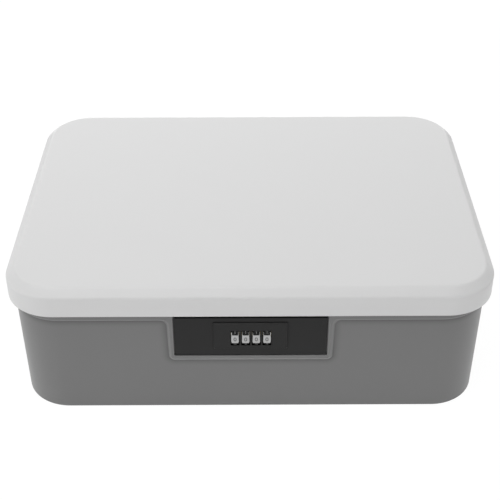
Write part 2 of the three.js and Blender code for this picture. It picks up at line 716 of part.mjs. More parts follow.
// The carrier: a block behind the plate with a pocket for each dial, bores for the code sleeves, room
// for the reset slider's collar and the spring, and a flange that runs behind the faceplate.
function slideCarrier() {
  const axis = [0, dialAxisY, dialAxisZ];
  const behind = [dialAxisY, carrierBack + runGap];
  const boreRadius = sleeveRadius + fitGap;
  const dialSpan = [dialRowEnds[0] - slideGap, dialRowEnds[1] + slideGap];
  const body = joined(
    block([carrierLeft, carrierRight], [carrierFront - fitGap, carrierBack], [carrierBottom, carrierTop]),
    block([flangeLeft, flangeRight], [flangeFront, carrierFront], [carrierBottom, carrierTop]),
  );
  const ahead = [flangeFront - runGap, dialAxisY];
  const pocketHalf = dialWidth / 2 + slideGap;
  const pocketHeights = about(dialAxisZ, pocketRadius);
  const frontRoom = dialCentres.map((x) => block(about(x, pocketHalf), ahead, pocketHeights));
  const collarSpace = [collarLeft, collarLeft + collarRoom];
  const collarHeights = about(dialAxisZ, collarRadius + pocketGap);
  const collarCut = joined(
    rod("x", collarRadius + pocketGap, collarSpace, axis),
    block(collarSpace, behind, collarHeights),
    block([carrierLeft - runGap, collarLeft + runGap], behind, about(dialAxisZ, boreRadius)),
  );
  const keyway = block(
    [flangeLeft - runGap, lastDial + sleeveLength / 2],
    about(dialAxisY, keyWidth / 2 + notchGap),
    [dialAxisZ, dialAxisZ + keyReach + fitGap],
  );
  const leafSlot = block(
    [dialSpan[0], dialSpan[1]],
    [dialAxisY + dialRadius, leafSlotBack],
    [dialAxisZ - leafHeight / 2 - leafBase - fitGap, dialAxisZ + leafHeight / 2 + fitGap],
  );
  const screwRoom = carrierScrewXs.map((x) =>
    joined(
      screwHole("y", [flangeFront - runGap, carrierFront + runGap], [x, 0, carrierScrewZ]),
      rod("y", screwHeadRadius + fitGap, [carrierFront, carrierBack + runGap], [x, 0, carrierScrewZ]),
    ),
  );
  const latchHoleBottom = latchBottom + latchThickness - latchScrewLength - screwGap;
  const latchHoleSpan = [latchHoleBottom, carrierTop + runGap];
  const latchHoles = latchScrewXs.map((x) => screwHole("z", latchHoleSpan, [x, latchScrewY, 0]));
  return cut(
    body,
    dialPockets(pocketRadius, slideGap),
    frontRoom,
    rod("x", boreRadius, [flangeLeft - runGap, springEnd], axis),
    rod("x", chamberRadius, [springEnd - runGap, carrierRight + runGap], axis),
    collarCut,
    keyway,
    leafSlot,
    screwRoom,
    latchHoles,
  );
}

// A strip of spring steel with one leaf behind each dial, where the dial's faces click against it.
function clickSpring() {
  const depth = [leafFront, leafFront + leafThickness];
  const low = dialAxisZ - leafHeight / 2;
  const base = block(dialRowEnds, depth, [low - leafBase, low]);
  const leafHeights = [low - fitGap, low + leafHeight];
  const leaves = dialCentres.map((x) => block(about(x, leafWidth / 2), depth, leafHeights));
  return joined(base, leaves);
}

// The bent plate on the carrier whose two lugs move over the feet of the strike's hooks.
function latchPlate() {
  const left = hookX - footLength - runGap - lugLength;
  const right = left + latchWidth;
  const lugs = hooks.map((x) => {
    const end = x - footLength - runGap;
    return block([end - lugLength, end], [strikeFront - runGap, latchWallBack], [lugBottom, lugTop]);
  });
  const footing = [latchBottom, latchBottom + latchThickness];
  const holeSpan = [footing[0] - runGap, footing[1] + runGap];
  const screwHoles = latchScrewXs.map((x) => screwHole("z", holeSpan, [x, latchScrewY, 0]));
  return cut(
    joined(
      block([left, right], [latchWallFront - latchDepth, latchWallBack], footing),
      block([left, right], [latchWallFront, latchWallBack], [latchBottom, lugTop]),
      lugs,
    ),
    screwHoles,
  );
}

// The strike under the lid: a flange and two hooks whose feet point left.
function strikePlate() {
  const flange = block(
    about(strikeX, strikeHalf),
    [strikeFront, strikeBack + strikeFlangeDepth],
    [strikeFlangeBottom, strikeFlangeTop],
  );
  const depth = [strikeFront, strikeBack];
  const hookSolids = hooks.flatMap((x) => [
    block([x, x + legWidth], depth, [hookBottom, strikeFlangeTop]),
    block([x - footLength, x + legWidth], depth, [hookBottom, hookBottom + footHeight]),
  ]);
  const holeSpan = [strikeFlangeBottom - runGap, strikeFlangeTop + runGap];
  const holes = strikeScrewXs.map((x) => screwHole("z", holeSpan, [x, strikeScrewY, 0]));
  return cut(joined(flange, hookSolids), holes);
}

// A dial about its own middle: ten flat faces outside, and inside ten notches for the code sleeve's key
// that open into a free recess.
function dialWheel() {
  const half = dialWidth / 2;
  const wheel = turned(
    [
      [0, -half],
      [dialRadius - dialChamfer, -half],
      [dialRadius, -half + dialChamfer],
      [dialRadius, half - dialChamfer],
      [dialRadius - dialChamfer, half],
      [0, half],
    ],
    dialFaces,
  );
  const centre = [0, 0, 0];
  const recess = [-half + dialNotchDepth, half - dialRecessWall];
  const notch = new THREE.BoxGeometry(dialNotchDepth + runGap * 2, keyWidth + notchGap * 2, keyReach + fitGap);
  notch.translate(-half + dialNotchDepth / 2, 0, (keyReach + fitGap) / 2);
  const turns = Array.from({ length: dialFaces }, (_, i) => (2 * Math.PI * i) / dialFaces);
  const notches = turns.map((turn) => solid(notch.clone().rotateX(turn)));
  return cut(
    wheel,
    rod("x", sleeveRadius + fitGap, [-half - runGap, half + runGap], centre),
    rod("x", keyReach + dialRecessGap, recess, centre),
    notches,
  );
}

// A code sleeve about its dial's middle: a tube with one web inside, a keyway through the web, and one
// key outside that turns it with the dial.
function codeSleeve() {
  const centre = [0, 0, 0];
  const half = sleeveLength / 2;
  const web = about(-webOffset, webThickness / 2);
  const keySpan = [-half + keyStart, -half + keyStart + keyLength];
  const key = block(keySpan, about(0, keyWidth / 2), [chamberRadius + fitGap, keyReach]);
  return cut(
    joined(rod("x", sleeveRadius, [-half, half], centre), key),
    rod("x", chamberRadius, [-half - runGap, web[0]], centre),
    rod("x", chamberRadius, [web[1], half + runGap], centre),
    rod("x", shaftRadius + fitGap, [-half, half], centre),
    block([-half, half], [0, chamberRadius], about(0, toothWidth / 2 + fitGap)),
  );
}

// The fixed shaft: flats and heads at its ends, which the housing's slots hold, and one tooth per dial,
// which stands midway between the two places that the dial's web takes.
function toothedShaft() {
  const axis = [0, dialAxisY, dialAxisZ];
  const ends = [housingLeft - housingWall, housingRight + housingWall];
  const flatY = about(dialAxisY, shaftRadius);
  const flatZ = about(dialAxisZ, shaftFlatHeight / 2);
  const teeth = dialCentres.map((x) =>
    block(
      about(x - webOffset + slideTravel / 2, toothThickness / 2),
      [dialAxisY, dialAxisY + toothReach],
      about(dialAxisZ, toothWidth / 2),
    ),
  );
  return joined(
    rod("x", shaftRadius, [housingLeft + fitGap, housingRight - fitGap], axis, smallSides),
    block([ends[0] - fitGap * 2, ends[0] + shaftFlatLength], flatY, flatZ),
    block([ends[1] - shaftFlatLength, ends[1] + fitGap * 2], flatY, flatZ),
    rod("x", shaftHeadRadius, [ends[0] - fitGap - shaftHeadLength, ends[0] - fitGap], axis, smallSides),
    rod("x", shaftHeadRadius, [ends[1] + fitGap, ends[1] + fitGap + shaftHeadLength], axis, smallSides),
    teeth,
  );
}

// The reset slider: a sleeve round the shaft that pushes the row of code sleeves, a collar inside the
// carrier that stops it, and a tab that reaches through the back cover.
function resetSlider() {
  const axis = [0, dialAxisY, dialAxisZ];
  const end = firstDial - sleeveLength / 2 - fitGap;
  const collarStart = collarLeft + fitGap;
  const tabDepth = [dialAxisY + chamberRadius + fitGap, coverBack + tabStandOut];
  return cut(
    joined(
      rod("x", sleeveRadius, [tabLeft, end], axis),
      rod("x", collarRadius, [collarStart, collarStart + collarThickness], axis),
      block([tabLeft, tabRight], tabDepth, about(dialAxisZ, tabHeight / 2)),
    ),
    rod("x", chamberRadius, [tabLeft - runGap, end + runGap], axis),
  );
}

// The coil between the last code sleeve and the carrier's end plate.
function resetSpring() {
  const length = springEnd - springStart - springWire - fitGap * 2;
  const start = springStart + springWire / 2 + fitGap;
  const steps = springTurns * springSteps;
  const points = Array.from({ length: steps + 1 }, (_, i) => {
    const angle = (2 * Math.PI * springTurns * i) / steps;
    const y = dialAxisY + springRadius * Math.cos(angle);
    const z = dialAxisZ + springRadius * Math.sin(angle);
    return new THREE.Vector3(start + (length * i) / steps, y, z);
  });
  const section = new THREE.Shape();
  section.absarc(0, 0, springWire / 2, 0, Math.PI * 2);
  const extrudePath = new THREE.CatmullRomCurve3(points);
  const settings = { steps, extrudePath, curveSegments: springSides, bevelEnabled: false };
  return solid(new THREE.ExtrudeGeometry(section, settings));
}

// The cover that closes the housing from inside the box, with tongues that trap the shaft in its slots.
function lockBackCover() {
  const xs = [coverScrewXs[0] - postRadius - coverMargin, coverScrewXs[1] + postRadius + coverMargin];
  const zs = [housingFloor - housingWall - coverMargin, housingTop + coverMargin];
  const plate = frontShape(roundedRectangle(xs, zs, coverCornerRadius), [coverFront, coverBack]);
  const tongueDepth = [dialAxisY + shaftRadius + fitGap, coverBack - fitGap];
  const tongueHeights = about(dialAxisZ, shaftFlatHeight / 2);
  const tongues = [housingLeft - housingWall, housingRight].map((x) =>
    block([x + fitGap, x + housingWall - fitGap], tongueDepth, tongueHeights),
  );
  const through = [coverFront - runGap, coverBack + runGap];
  const slot = block(
    [tabLeft - tabSlotGap, tabRight + slideTravel + resetTravel + tabSlotGap],
    through,
    about(dialAxisZ, tabHeight / 2 + tabSlotGap),
  );
  const holes = coverScrewXs.flatMap((x) => coverScrewZs.map((z) => screwHole("y", through, [x, 0, z])));
  return cut(joined(plate, tongues), slot, holes);
}

// A screw with its head up at z = 0 and above, and its shank below.
function screw(length) {
  const centre = [0, 0, 0];
  const slotHeights = about(screwHeadHeight, screwSlotDepth);
  const slotReach = about(0, screwSlotLength / 2);
  const slotBreadth = about(0, screwSlotWidth / 2);
  const slots = [block(slotReach, slotBreadth, slotHeights), block(slotBreadth, slotReach, slotHeights)];
  return cut(
    joined(
      rod("z", screwRadius, [-length, fitGap], centre, smallSides),
      rod("z", screwHeadRadius, [0, screwHeadHeight], centre, smallSides),
    ),
    slots,
  );
}

const finishes = {
  whitePlastic: { color: 0xd9d9d9, roughness: 0.5, metalness: 0 },
  greyPlastic: { color: 0x737373, roughness: 0.6, metalness: 0 },
  blackPlastic: { color: 0x2e2e2e, roughness: 0.5, metalness: 0 },
  dialMetal: { color: 0xc8c8c8, roughness: 0.25, metalness: 1 },
  steel: { color: 0xa8a8a8, roughness: 0.35, metalness: 1 },
  brass: { color: 0xb59b5b, roughness: 0.35, metalness: 1 },
};

// A named mesh with its own material.
function piece(name, shape, finish) {
  const { vertProperties, triVerts, numProp } = shape.getMesh();
  const positions = new Float32Array((vertProperties.length / numProp) * 3);
  for (let i = 0; i < positions.length / 3; i++) {
    positions.set(vertProperties.subarray(i * numProp, i * numProp + 3), i * 3);
  }
  const geometry = new THREE.BufferGeometry();
  geometry.setAttribute("position", new THREE.BufferAttribute(positions, 3));
  geometry.setIndex(new THREE.BufferAttribute(new Uint32Array(triVerts), 1));
  geometry.computeVertexNormals();
  const mesh = new THREE.Mesh(geometry, new THREE.MeshStandardMaterial(finish));
  mesh.name = name;
  return mesh;
}

// A group of named pieces.
function group(...pieces) {
  const made = new THREE.Group();
  made.add(...pieces.flat());
  return made;
}

// Screws of one length, numbered, with the seat of each head at a place and the shank turned about X.
function screws(name, length, places, turn) {
  const shape = screw(length);
  return places.map(([x, y, z], i) => {
    const mesh = piece(`${name}_${i + 1}`, shape, finishes.steel);
    mesh.position.set(x, y, z);
    mesh.rotation.x = turn;
    return mesh;
  });
}

const intoFront = -Math.PI / 2; // a screw driven towards -Y
const upward = Math.PI; // a screw driven towards +Z
const downward = 0;

const plateScrewPlaces = plateScrewXs.flatMap((x) => plateScrewZs.map((z) => [x, seatBack + fitGap, z]));
const coverScrewPlaces = coverScrewXs.flatMap((x) => coverScrewZs.map((z) => [x, coverBack + fitGap, z]));
const carrierScrewPlaces = carrierScrewXs.map((x) => [x, carrierFront + fitGap, carrierScrewZ]);
const latchScrewPlaces = latchScrewXs.map((x) => [x, latchScrewY, latchBottom + latchThickness + fitGap]);
const strikeScrewPlaces = strikeScrewXs.map((x) => [x, strikeScrewY, strikeFlangeBottom - fitGap]);

const fixedPieces = group(
  piece("body_tub", bodyTub(), finishes.greyPlastic),
  piece("lock_faceplate", lockFaceplate(), finishes.blackPlastic),
  piece("toothed_shaft", toothedShaft(), finishes.steel),
  piece("lock_back_cover", lockBackCover(), finishes.blackPlastic),
  piece("hinge_pin_left", hingePin(hingeCentres[0]), finishes.steel),
  piece("hinge_pin_right", hingePin(hingeCentres[1]), finishes.steel),
  screws("faceplate_screw", plateScrewLength, plateScrewPlaces, intoFront),
  screws("back_cover_screw", coverScrewLength, coverScrewPlaces, intoFront),
);

const lidPieces = group(
  piece("lid_shell", lidShell(), finishes.whitePlastic),
  piece("strike_plate", strikePlate(), finishes.steel),
  screws("strike_screw", strikeScrewLength, strikeScrewPlaces, upward),
);

const dialRow = group(
  dialCentres.flatMap((x, i) => {
    const dial = piece(`dial_wheel_${i + 1}`, dialWheel(), finishes.dialMetal);
    const sleeve = piece(`code_sleeve_${i + 1}`, codeSleeve(), finishes.brass);
    dial.position.x = x;
    sleeve.position.x = x;
    return [dial, sleeve];
  }),
);
dialRow.position.set(0, dialAxisY, dialAxisZ);

const slidePieces = group(
  piece("slide_block", slideBlock(), finishes.blackPlastic),
  piece("slide_carrier", slideCarrier(), finishes.blackPlastic),
  piece("click_spring", clickSpring(), finishes.steel),
  piece("latch_plate", latchPlate(), finishes.steel),
  piece("reset_slider", resetSlider(), finishes.brass),
  piece("reset_spring", resetSpring(), finishes.steel),
  screws("carrier_screw", carrierScrewLength, carrierScrewPlaces, intoFront),
  screws("latch_screw", latchScrewLength, latchScrewPlaces, downward),
  dialRow,
);

// The hinges stand out behind the lid, so the whole box moves forward by half of that to centre it.
const safe = group(fixedPieces, lidPieces, slidePieces);
safe.name = "document_safe";
safe.position.y = -(knuckleRadius - hingeAxisInset) / 2;

export default safe;
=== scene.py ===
"""Looks of the document safe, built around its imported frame.

The box is a tapered grey moulding under a white bevelled lid. A frame on its front holds a black plate,
a block that slides on the plate, and four dials. Lengths are in metres, +Z is up and the lock faces -Y.
"""

import json
import logging
import math
from collections.abc import Callable
from dataclasses import dataclass, field
from enum import Enum

import bmesh
import bpy
import numpy as np
from mathutils import Matrix, Vector


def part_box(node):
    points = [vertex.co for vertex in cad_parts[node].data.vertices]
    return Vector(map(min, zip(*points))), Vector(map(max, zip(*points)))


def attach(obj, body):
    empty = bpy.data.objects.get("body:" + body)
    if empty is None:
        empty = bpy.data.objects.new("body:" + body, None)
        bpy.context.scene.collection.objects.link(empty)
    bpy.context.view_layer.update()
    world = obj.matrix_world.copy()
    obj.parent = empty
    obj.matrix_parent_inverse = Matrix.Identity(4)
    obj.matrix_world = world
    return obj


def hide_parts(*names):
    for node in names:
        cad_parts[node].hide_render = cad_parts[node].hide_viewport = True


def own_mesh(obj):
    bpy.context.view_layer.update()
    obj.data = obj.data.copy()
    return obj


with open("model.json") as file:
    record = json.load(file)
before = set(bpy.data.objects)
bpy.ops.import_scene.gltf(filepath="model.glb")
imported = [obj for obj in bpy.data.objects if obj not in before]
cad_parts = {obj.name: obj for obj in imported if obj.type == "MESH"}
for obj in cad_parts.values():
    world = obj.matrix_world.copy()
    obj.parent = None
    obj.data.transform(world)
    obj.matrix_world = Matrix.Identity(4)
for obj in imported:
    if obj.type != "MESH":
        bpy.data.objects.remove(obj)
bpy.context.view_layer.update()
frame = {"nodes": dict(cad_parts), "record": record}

MM = 0.001
LID_DEPTH = 278 * MM  # how deep the lid is without its knuckles
MERGE_DISTANCE = 0.001 * MM  # how far apart a CAD mesh's loose corners may lie
PAST = 1 * MM  # how far a cutter reaches past what it cuts
MIDDLE_SHARE = 0.8  # how far in a lid's or tub's flats reach, as a share of the corners' radius
PIN_SIDES = {"hinge_pin_left": -1, "hinge_pin_right": 1}  # which way along X each head points
# The types that come up most
Pair = tuple[float, float]
Triple = tuple[float, float, float]
Material = bpy.types.Material
WHITE = (1.0, 1.0, 1.0, 1.0)
LOG = logging.getLogger("document_safe")


class Joining(Enum):
    """How one solid is worked into another."""

    ADD = "UNION"
    CUT = "DIFFERENCE"
    KEEP = "INTERSECT"


class Axis(Enum):
    """The axes, in a point's order."""

    X = 0
    Y = 1
    Z = 2


class Wire:
    """A node's output, with the operators that sums over a surface need."""

    def __init__(self, recipe: "Recipe", socket: bpy.types.NodeSocket) -> None:
        """Keeps the tree and the output that the value comes from."""
        self.recipe = recipe
        self.socket = socket

    def _maths(self, operation: str, first: "Wire | float", second: "Wire | float") -> "Wire":
        """Adds a Math node.

        Args:
            operation: the Math node's operation.
            first: its first value.
            second: its second value.

        Returns:
            The node's output.
        """
        return self.recipe.node("ShaderNodeMath", {0: first, 1: second}, operation=operation)

    def __add__(self, other: "Wire | float") -> "Wire":
        """Returns self + other."""
        return self._maths("ADD", self, other)

    def __radd__(self, other: float) -> "Wire":
        """Returns other + self."""
        return self._maths("ADD", other, self)

    def __sub__(self, other: "Wire | float") -> "Wire":
        """Returns self - other."""
        return self._maths("SUBTRACT", self, other)

    def __rsub__(self, other: float) -> "Wire":
        """Returns other - self."""
        return self._maths("SUBTRACT", other, self)

    def __mul__(self, other: "Wire | float") -> "Wire":
        """Returns self * other."""
        return self._maths("MULTIPLY", self, other)

    def __rmul__(self, other: float) -> "Wire":
        """Returns other * self."""
        return self._maths("MULTIPLY", other, self)

    def __truediv__(self, other: float) -> "Wire":
        """Returns self / other."""
        return self._maths("DIVIDE", self, other)

    def __pow__(self, other: float) -> "Wire":
        """Returns self to the power of other."""
        return self._maths("POWER", self, other)

    def __gt__(self, other: float) -> "Wire":
        """Returns 1 where self is greater than other, and else 0."""
        return self._maths("GREATER_THAN", self, other)

    def __abs__(self) -> "Wire":
        """Returns self without its sign."""
        return self._maths("ABSOLUTE", self, 0.0)

    def along(self, axis: Axis) -> "Wire":
        """Returns a point's or a direction's part along an axis."""
        return self.recipe.node("ShaderNodeSeparateXYZ", {0: self}, output=axis.name)

    def at_least(self, other: "Wire | float") -> "Wire":
        """Returns the greater of self and other."""
        return self._maths("MAXIMUM", self, other)

    def at_most(self, other: "Wire | float") -> "Wire":
        """Returns the smaller of self and other."""
        return self._maths("MINIMUM", self, other)


class Recipe:
    """A tree of shader nodes, filled in by one method for every kind of node."""

    def __init__(self, tree: bpy.types.NodeTree) -> None:
        """Empties the tree and keeps it."""
        self.tree = tree
        self.tree.nodes.clear()

    def node(self, kind: str, inputs: dict | None = None, output: int | str = 0, **settings: str) -> Wire:
        """Adds a node.

        Args:
            kind: the node's type.
            inputs: values or wires by socket name or number.
            output: the number or name of the output that is wanted.
            settings: its properties, which are set first.

        Returns:
            That output.
        """
        made = self.tree.nodes.new(kind)
        for name, value in settings.items():
            setattr(made, name, value)
        for key, value in (inputs or {}).items():
            if isinstance(value, Wire):
                self.tree.links.new(value.socket, made.inputs[key])
            else:
                made.inputs[key].default_value = value
        return Wire(self, made.outputs[output] if made.outputs else None)

    def noise(self, size: float, detail: float = 2.0, stretch: tuple[float, ...] = (1.0, 1.0, 1.0)) -> Wire:
        """Adds a noise pattern fixed to the piece.

        Args:
            size: how wide one spot of the pattern is, in metres.
            detail: how many finer layers it has.
            stretch: how many times longer its spots are along each axis.

        Returns:
            The noise, from 0 to 1.
        """
        place = self.node("ShaderNodeTexCoord", output="Object")
        scale = tuple(1.0 / (size * along) for along in stretch)
        mapped = self.node("ShaderNodeMapping", {"Vector": place, "Scale": scale})
        return self.node("ShaderNodeTexNoise", {"Vector": mapped, "Scale": 1.0, "Detail": detail})

    def drifting(self, share: Wire, colour: tuple[float, ...], drift: float) -> Wire:
        """Lets a colour drift to both sides.

        Args:
            share: where it stands between darker and lighter, from 0 to 1.
            colour: the colour in the middle.
            drift: the part of itself by which it gets darker and lighter.

        Returns:
            The drifting colour.
        """
        darker = [channel * (1.0 - drift) for channel in colour]
        lighter = [min(channel * (1.0 + drift), 1.0) for channel in colour]
        inputs = {0: share, 6: (*darker, 1.0), 7: (*lighter, 1.0)}  # 6 and 7 are the node's colours
        return self.node("ShaderNodeMix", inputs, output=2, data_type="RGBA")

    def glow(self, strength: "Wire | float") -> Wire:
        """White light from the surface itself."""
        return self.node("ShaderNodeEmission", {"Color": WHITE, "Strength": strength})

    def finish(self, relief: Wire, depth: float, inputs: dict) -> None:
        """Ends a material in one shader whose relief is a bump.

        Args:
            relief: the height of the relief, from 0 to 1.
            depth: how deep it is.
            inputs: the shader's other values and wires.
        """
        bump = self.node("ShaderNodeBump", {"Height": relief, "Distance": depth, "Strength": 1.0})
        shader = self.node("ShaderNodeBsdfPrincipled", {**inputs, "Normal": bump})
        self.node("ShaderNodeOutputMaterial", {"Surface": shader})


def new_material(name: str) -> tuple[Material, Recipe]:
    """Starts a material.

    Args:
        name: the material's name.

    Returns:
        The material and the recipe that fills it in.
    """
    material = bpy.data.materials.new(name)
    material.use_nodes = True
    return material, Recipe(material.node_tree)


@dataclass(frozen=True)
class Moulding:
    """A moulded plastic: fine spark-eroded grain, and a tone that drifts slightly across the part."""

    name: str
    colour: Triple
    roughness: float
    grain_depth: float
    drift: float
    specular: float = 0.5
    grain_size: float = 0.5 * MM
    drift_size: float = 60 * MM
    roughness_drift: float = 0.06
    grain_share: float = 0.35

    def material(self, shade: Callable[[Recipe], Wire] | None = None) -> Material:
        """Builds the finish.

        Args:
            shade: gives the factor of painted shade and painted highlight that scales the part's colour by
                its form.

        Returns:
            The material.
        """
        material, recipe = new_material(self.name)
        slow = recipe.noise(self.drift_size, detail=1.0)
        fine = recipe.noise(self.grain_size)
        tone = slow * (1.0 - self.grain_share) + fine * self.grain_share
        colour = recipe.drifting(tone, self.colour, self.drift)
        # painted shade and painted highlight scale the colour here
        if shade is not None:
            scaled = {0: colour, "Scale": shade(recipe)}
            colour = recipe.node("ShaderNodeVectorMath", scaled, operation="SCALE")
        recipe.finish(
            fine,
            self.grain_depth,
            {
                "Base Color": colour,
                "Roughness": slow * self.roughness_drift + (self.roughness - self.roughness_drift / 2),
                "Specular IOR Level": self.specular,
            },
        )
        return material


@dataclass(frozen=True)
class Metal:
    """A plated or turned metal: streaks along one direction, and small changes in its shine."""

    name: str
    colour: Triple
    roughness: float
    streak_size: float
    streak_depth: float
    streak_stretch: Triple = (1.0, 1.0, 1.0)
    drift: float = 0.08
    roughness_drift: float = 0.1
    streaks_per_cloud: int = 12

    def material(self) -> Material:
        """Builds the finish.

        Returns:
            The material.
        """
        material, recipe = new_material(self.name)
        streaks = recipe.noise(self.streak_size, stretch=self.streak_stretch)
        clouds = recipe.noise(self.streak_size * self.streaks_per_cloud, detail=1.0)
        recipe.finish(
            streaks,
            self.streak_depth,
            {
                "Base Color": recipe.drifting(clouds, self.colour, self.drift),
                "Metallic": 1.0,
                "Roughness": clouds * self.roughness_drift + (self.roughness - self.roughness_drift / 2),
            },
        )
        return material


def grey(level: float) -> Triple:
    """A colour without a tint."""
    return (level, level, level)


LID_FINISH = Moulding("lid_white", grey(0.765), roughness=0.42, grain_depth=0.006 * MM, drift=0.012)
BODY_FINISH = Moulding("body_grey", grey(0.193), roughness=0.38, grain_depth=0.012 * MM, drift=0.03)
PLATE_FINISH = Moulding(
    "plate_black",
    grey(0.02),
    roughness=0.38,
    grain_depth=0.006 * MM,
    drift=0.08,
    specular=0.19,
    grain_size=0.4 * MM,
)
INNER_FINISH = Moulding(
    "inner_black",
    grey(0.018),
    roughness=0.5,
    grain_depth=0.01 * MM,
    drift=0.08,
    specular=0.4,
)
FIGURE_FINISH = Moulding(
    "figure_paint",
    grey(0.17),
    roughness=0.6,
    grain_depth=0.004 * MM,
    drift=0.05,
    specular=0.3,
    grain_size=0.2 * MM,
)
DIAL_FINISH = Metal(
    "dial_chrome",
    grey(0.4),
    roughness=0.12,
    streak_size=0.3 * MM,
    streak_depth=0.001 * MM,
    streak_stretch=(6.0, 1.0, 1.0),
)
STEEL_FINISH = Metal(
    "plated_steel",
    (0.56, 0.56, 0.55),
    roughness=0.3,
    streak_size=0.25 * MM,
    streak_depth=0.003 * MM,
    streak_stretch=(8.0, 1.0, 1.0),
)
SCREW_FINISH = Metal(
    "screw_plating",
    grey(0.6),
    roughness=0.28,
    streak_size=0.3 * MM,
    streak_depth=0.002 * MM,
)
BRASS_FINISH = Metal(
    "turned_brass",
    (0.35, 0.29, 0.18),
    roughness=0.45,
    streak_size=0.2 * MM,
    streak_depth=0.003 * MM,
    streak_stretch=(0.5, 6.0, 6.0),
)


def placed(name: str, data: bpy.types.ID) -> bpy.types.Object:
    """Puts a mesh, curve, light or camera in the scene as an object at the origin.

    Args:
        name: its name.
        data: what it shows.

    Returns:
        The object.
    """
    made = bpy.data.objects.new(name, data)
    bpy.context.scene.collection.objects.link(made)
    return made


def as_mesh(thing: bpy.types.Object) -> bpy.types.Mesh:
    """An object's mesh with its modifiers worked in."""
    graph = bpy.context.evaluated_depsgraph_get()
    return bpy.data.meshes.new_from_object(thing.evaluated_get(graph), depsgraph=graph)


class Solid:
    """A closed mesh, and the solids that are to be worked into it."""

    def __init__(self, mesh: bpy.types.Mesh) -> None:
        """Puts the mesh in the scene."""
        self.object = placed(mesh.name, mesh)
        self.tools: list[Solid] = []

    @classmethod
    def of_faces(cls, points: np.ndarray, faces: list) -> "Solid":
        """Makes a solid from points and faces, with its faces turned outwards.

        Args:
            points: the corners, one row each.
            faces: the corners of each face, by number.

        Returns:
            The solid.
        """
        mesh = bpy.data.meshes.new("solid")
        mesh.from_pydata(points.tolist(), [], faces)
        shape = bmesh.new()
        shape.from_mesh(mesh)
        bmesh.ops.recalc_face_normals(shape, faces=shape.faces)
        shape.to_mesh(mesh)
        shape.free()
        return cls(mesh)

    @classmethod
    def of_node(cls, node: str) -> "Solid":
        """Makes a solid from a copy of a CAD node, with its loose triangles merged.

        Args:
            node: the CAD node.

        Returns:
            The solid.
        """
        mesh = frame["nodes"][node].data.copy()
        shape = bmesh.new()
        shape.from_mesh(mesh)
        bmesh.ops.remove_doubles(shape, verts=shape.verts, dist=MERGE_DISTANCE)
        shape.to_mesh(mesh)
        shape.free()
        mesh.materials.clear()
        return cls(mesh)

    def work(self, joining: Joining, *others: "Solid") -> "Solid":
        """Joins, cuts or keeps with other solids.

        Args:
            joining: what to do with them.
            others: the other solids, which are used up.

        Returns:
            This solid.
        """
        for other in others:
            modifier = self.object.modifiers.new(joining.name, "BOOLEAN")
            modifier.operation = joining.value
            modifier.object = other.object
            modifier.solver = "MANIFOLD"
            self.tools.append(other)
        return self

    def _remove(self) -> None:
        """Removes the object and all that was worked into it."""
        for tool in self.tools:
            tool._remove()
        mesh = self.object.data
        bpy.data.objects.remove(self.object)
        bpy.data.meshes.remove(mesh)

    def finished(self, name: str, crease: float = 35.0) -> bpy.types.Object:
        """Works everything in and shades the result.

        Args:
            name: the piece's name.
            crease: the least angle of a sharp edge, in degrees.

        Returns:
            The piece as a plain mesh object at the origin.
        """
        mesh = as_mesh(self.object)
        self._remove()
        mesh.name = name
        piece = placed(name, mesh)
        mesh.shade_smooth()
        mesh.set_sharp_from_angle(angle=math.radians(crease))
        weighted = piece.modifiers.new("weighted", "WEIGHTED_NORMAL")
        weighted.keep_sharp = True
        return piece


def arc(centre: Pair, radius: float, start: float, end: float, steps: int) -> np.ndarray:
    """Points on an arc: centre + radius * (cos angle, sin angle), with the angle in even steps.

    Args:
        centre: the arc's centre.
        radius: its radius.
        start: its first angle, in degrees.
        end: its last angle, in degrees.
        steps: how many straight pieces it has.

    Returns:
        Its points, one row each.
    """
    angles = np.radians(np.linspace(start, end, steps + 1))
    return np.array(centre) + radius * np.column_stack([np.cos(angles), np.sin(angles)])


def softened(corners: list[Triple], steps: int) -> np.ndarray:
    """An open outline whose corners are turned into arcs.

    Each arc touches both sides of its corner at radius / tan(half the corner's angle) from the corner.

    Args:
        corners: two places and a radius for each corner.
        steps: straight pieces in each arc.

    Returns:
        The outline's points, one row each.
    """
    places = np.array(corners)[:, :2]
    parts = []
    for number, (here, radius) in enumerate(zip(places, np.array(corners)[:, 2])):
        if radius == 0:
            parts.append(here[None, :])
            continue
        back = places[number - 1] - here
        ahead = places[number + 1] - here
        back /= np.linalg.norm(back)
        ahead /= np.linalg.norm(ahead)
        half = math.acos(float(np.clip(back @ ahead, -1.0, 1.0))) / 2
        middle = (back + ahead) / np.linalg.norm(back + ahead)
        centre = here + middle * radius / math.sin(half)
        first = here + back * radius / math.tan(half) - centre
        last = here + ahead * radius / math.tan(half) - centre
        turn = math.atan2(first[0] * last[1] - first[1] * last[0], float(first @ last))
        start = math.degrees(math.atan2(first[1], first[0]))
        parts.append(arc(tuple(centre), radius, start, start + math.degrees(turn), steps))
    return np.vstack(parts)


def lofted(rings: np.ndarray) -> Solid:
    """A skin over a stack of rings, closed by a flat face at each end.

    Args:
        rings: an array of rings by points by 3.

    Returns:
        The closed solid.
    """
    levels, count, _ = rings.shape
    level, place = np.meshgrid(np.arange(levels - 1), np.arange(count), indexing="ij")
    low = level * count + place
    beside = level * count + (place + 1) % count
    quads = np.stack([low, beside, beside + count, low + count], axis=-1).reshape(-1, 4)
    ends = [list(range(count)), list(range((levels - 1) * count, levels * count))]
    return Solid.of_faces(rings.reshape(-1, 3), quads.tolist() + ends)


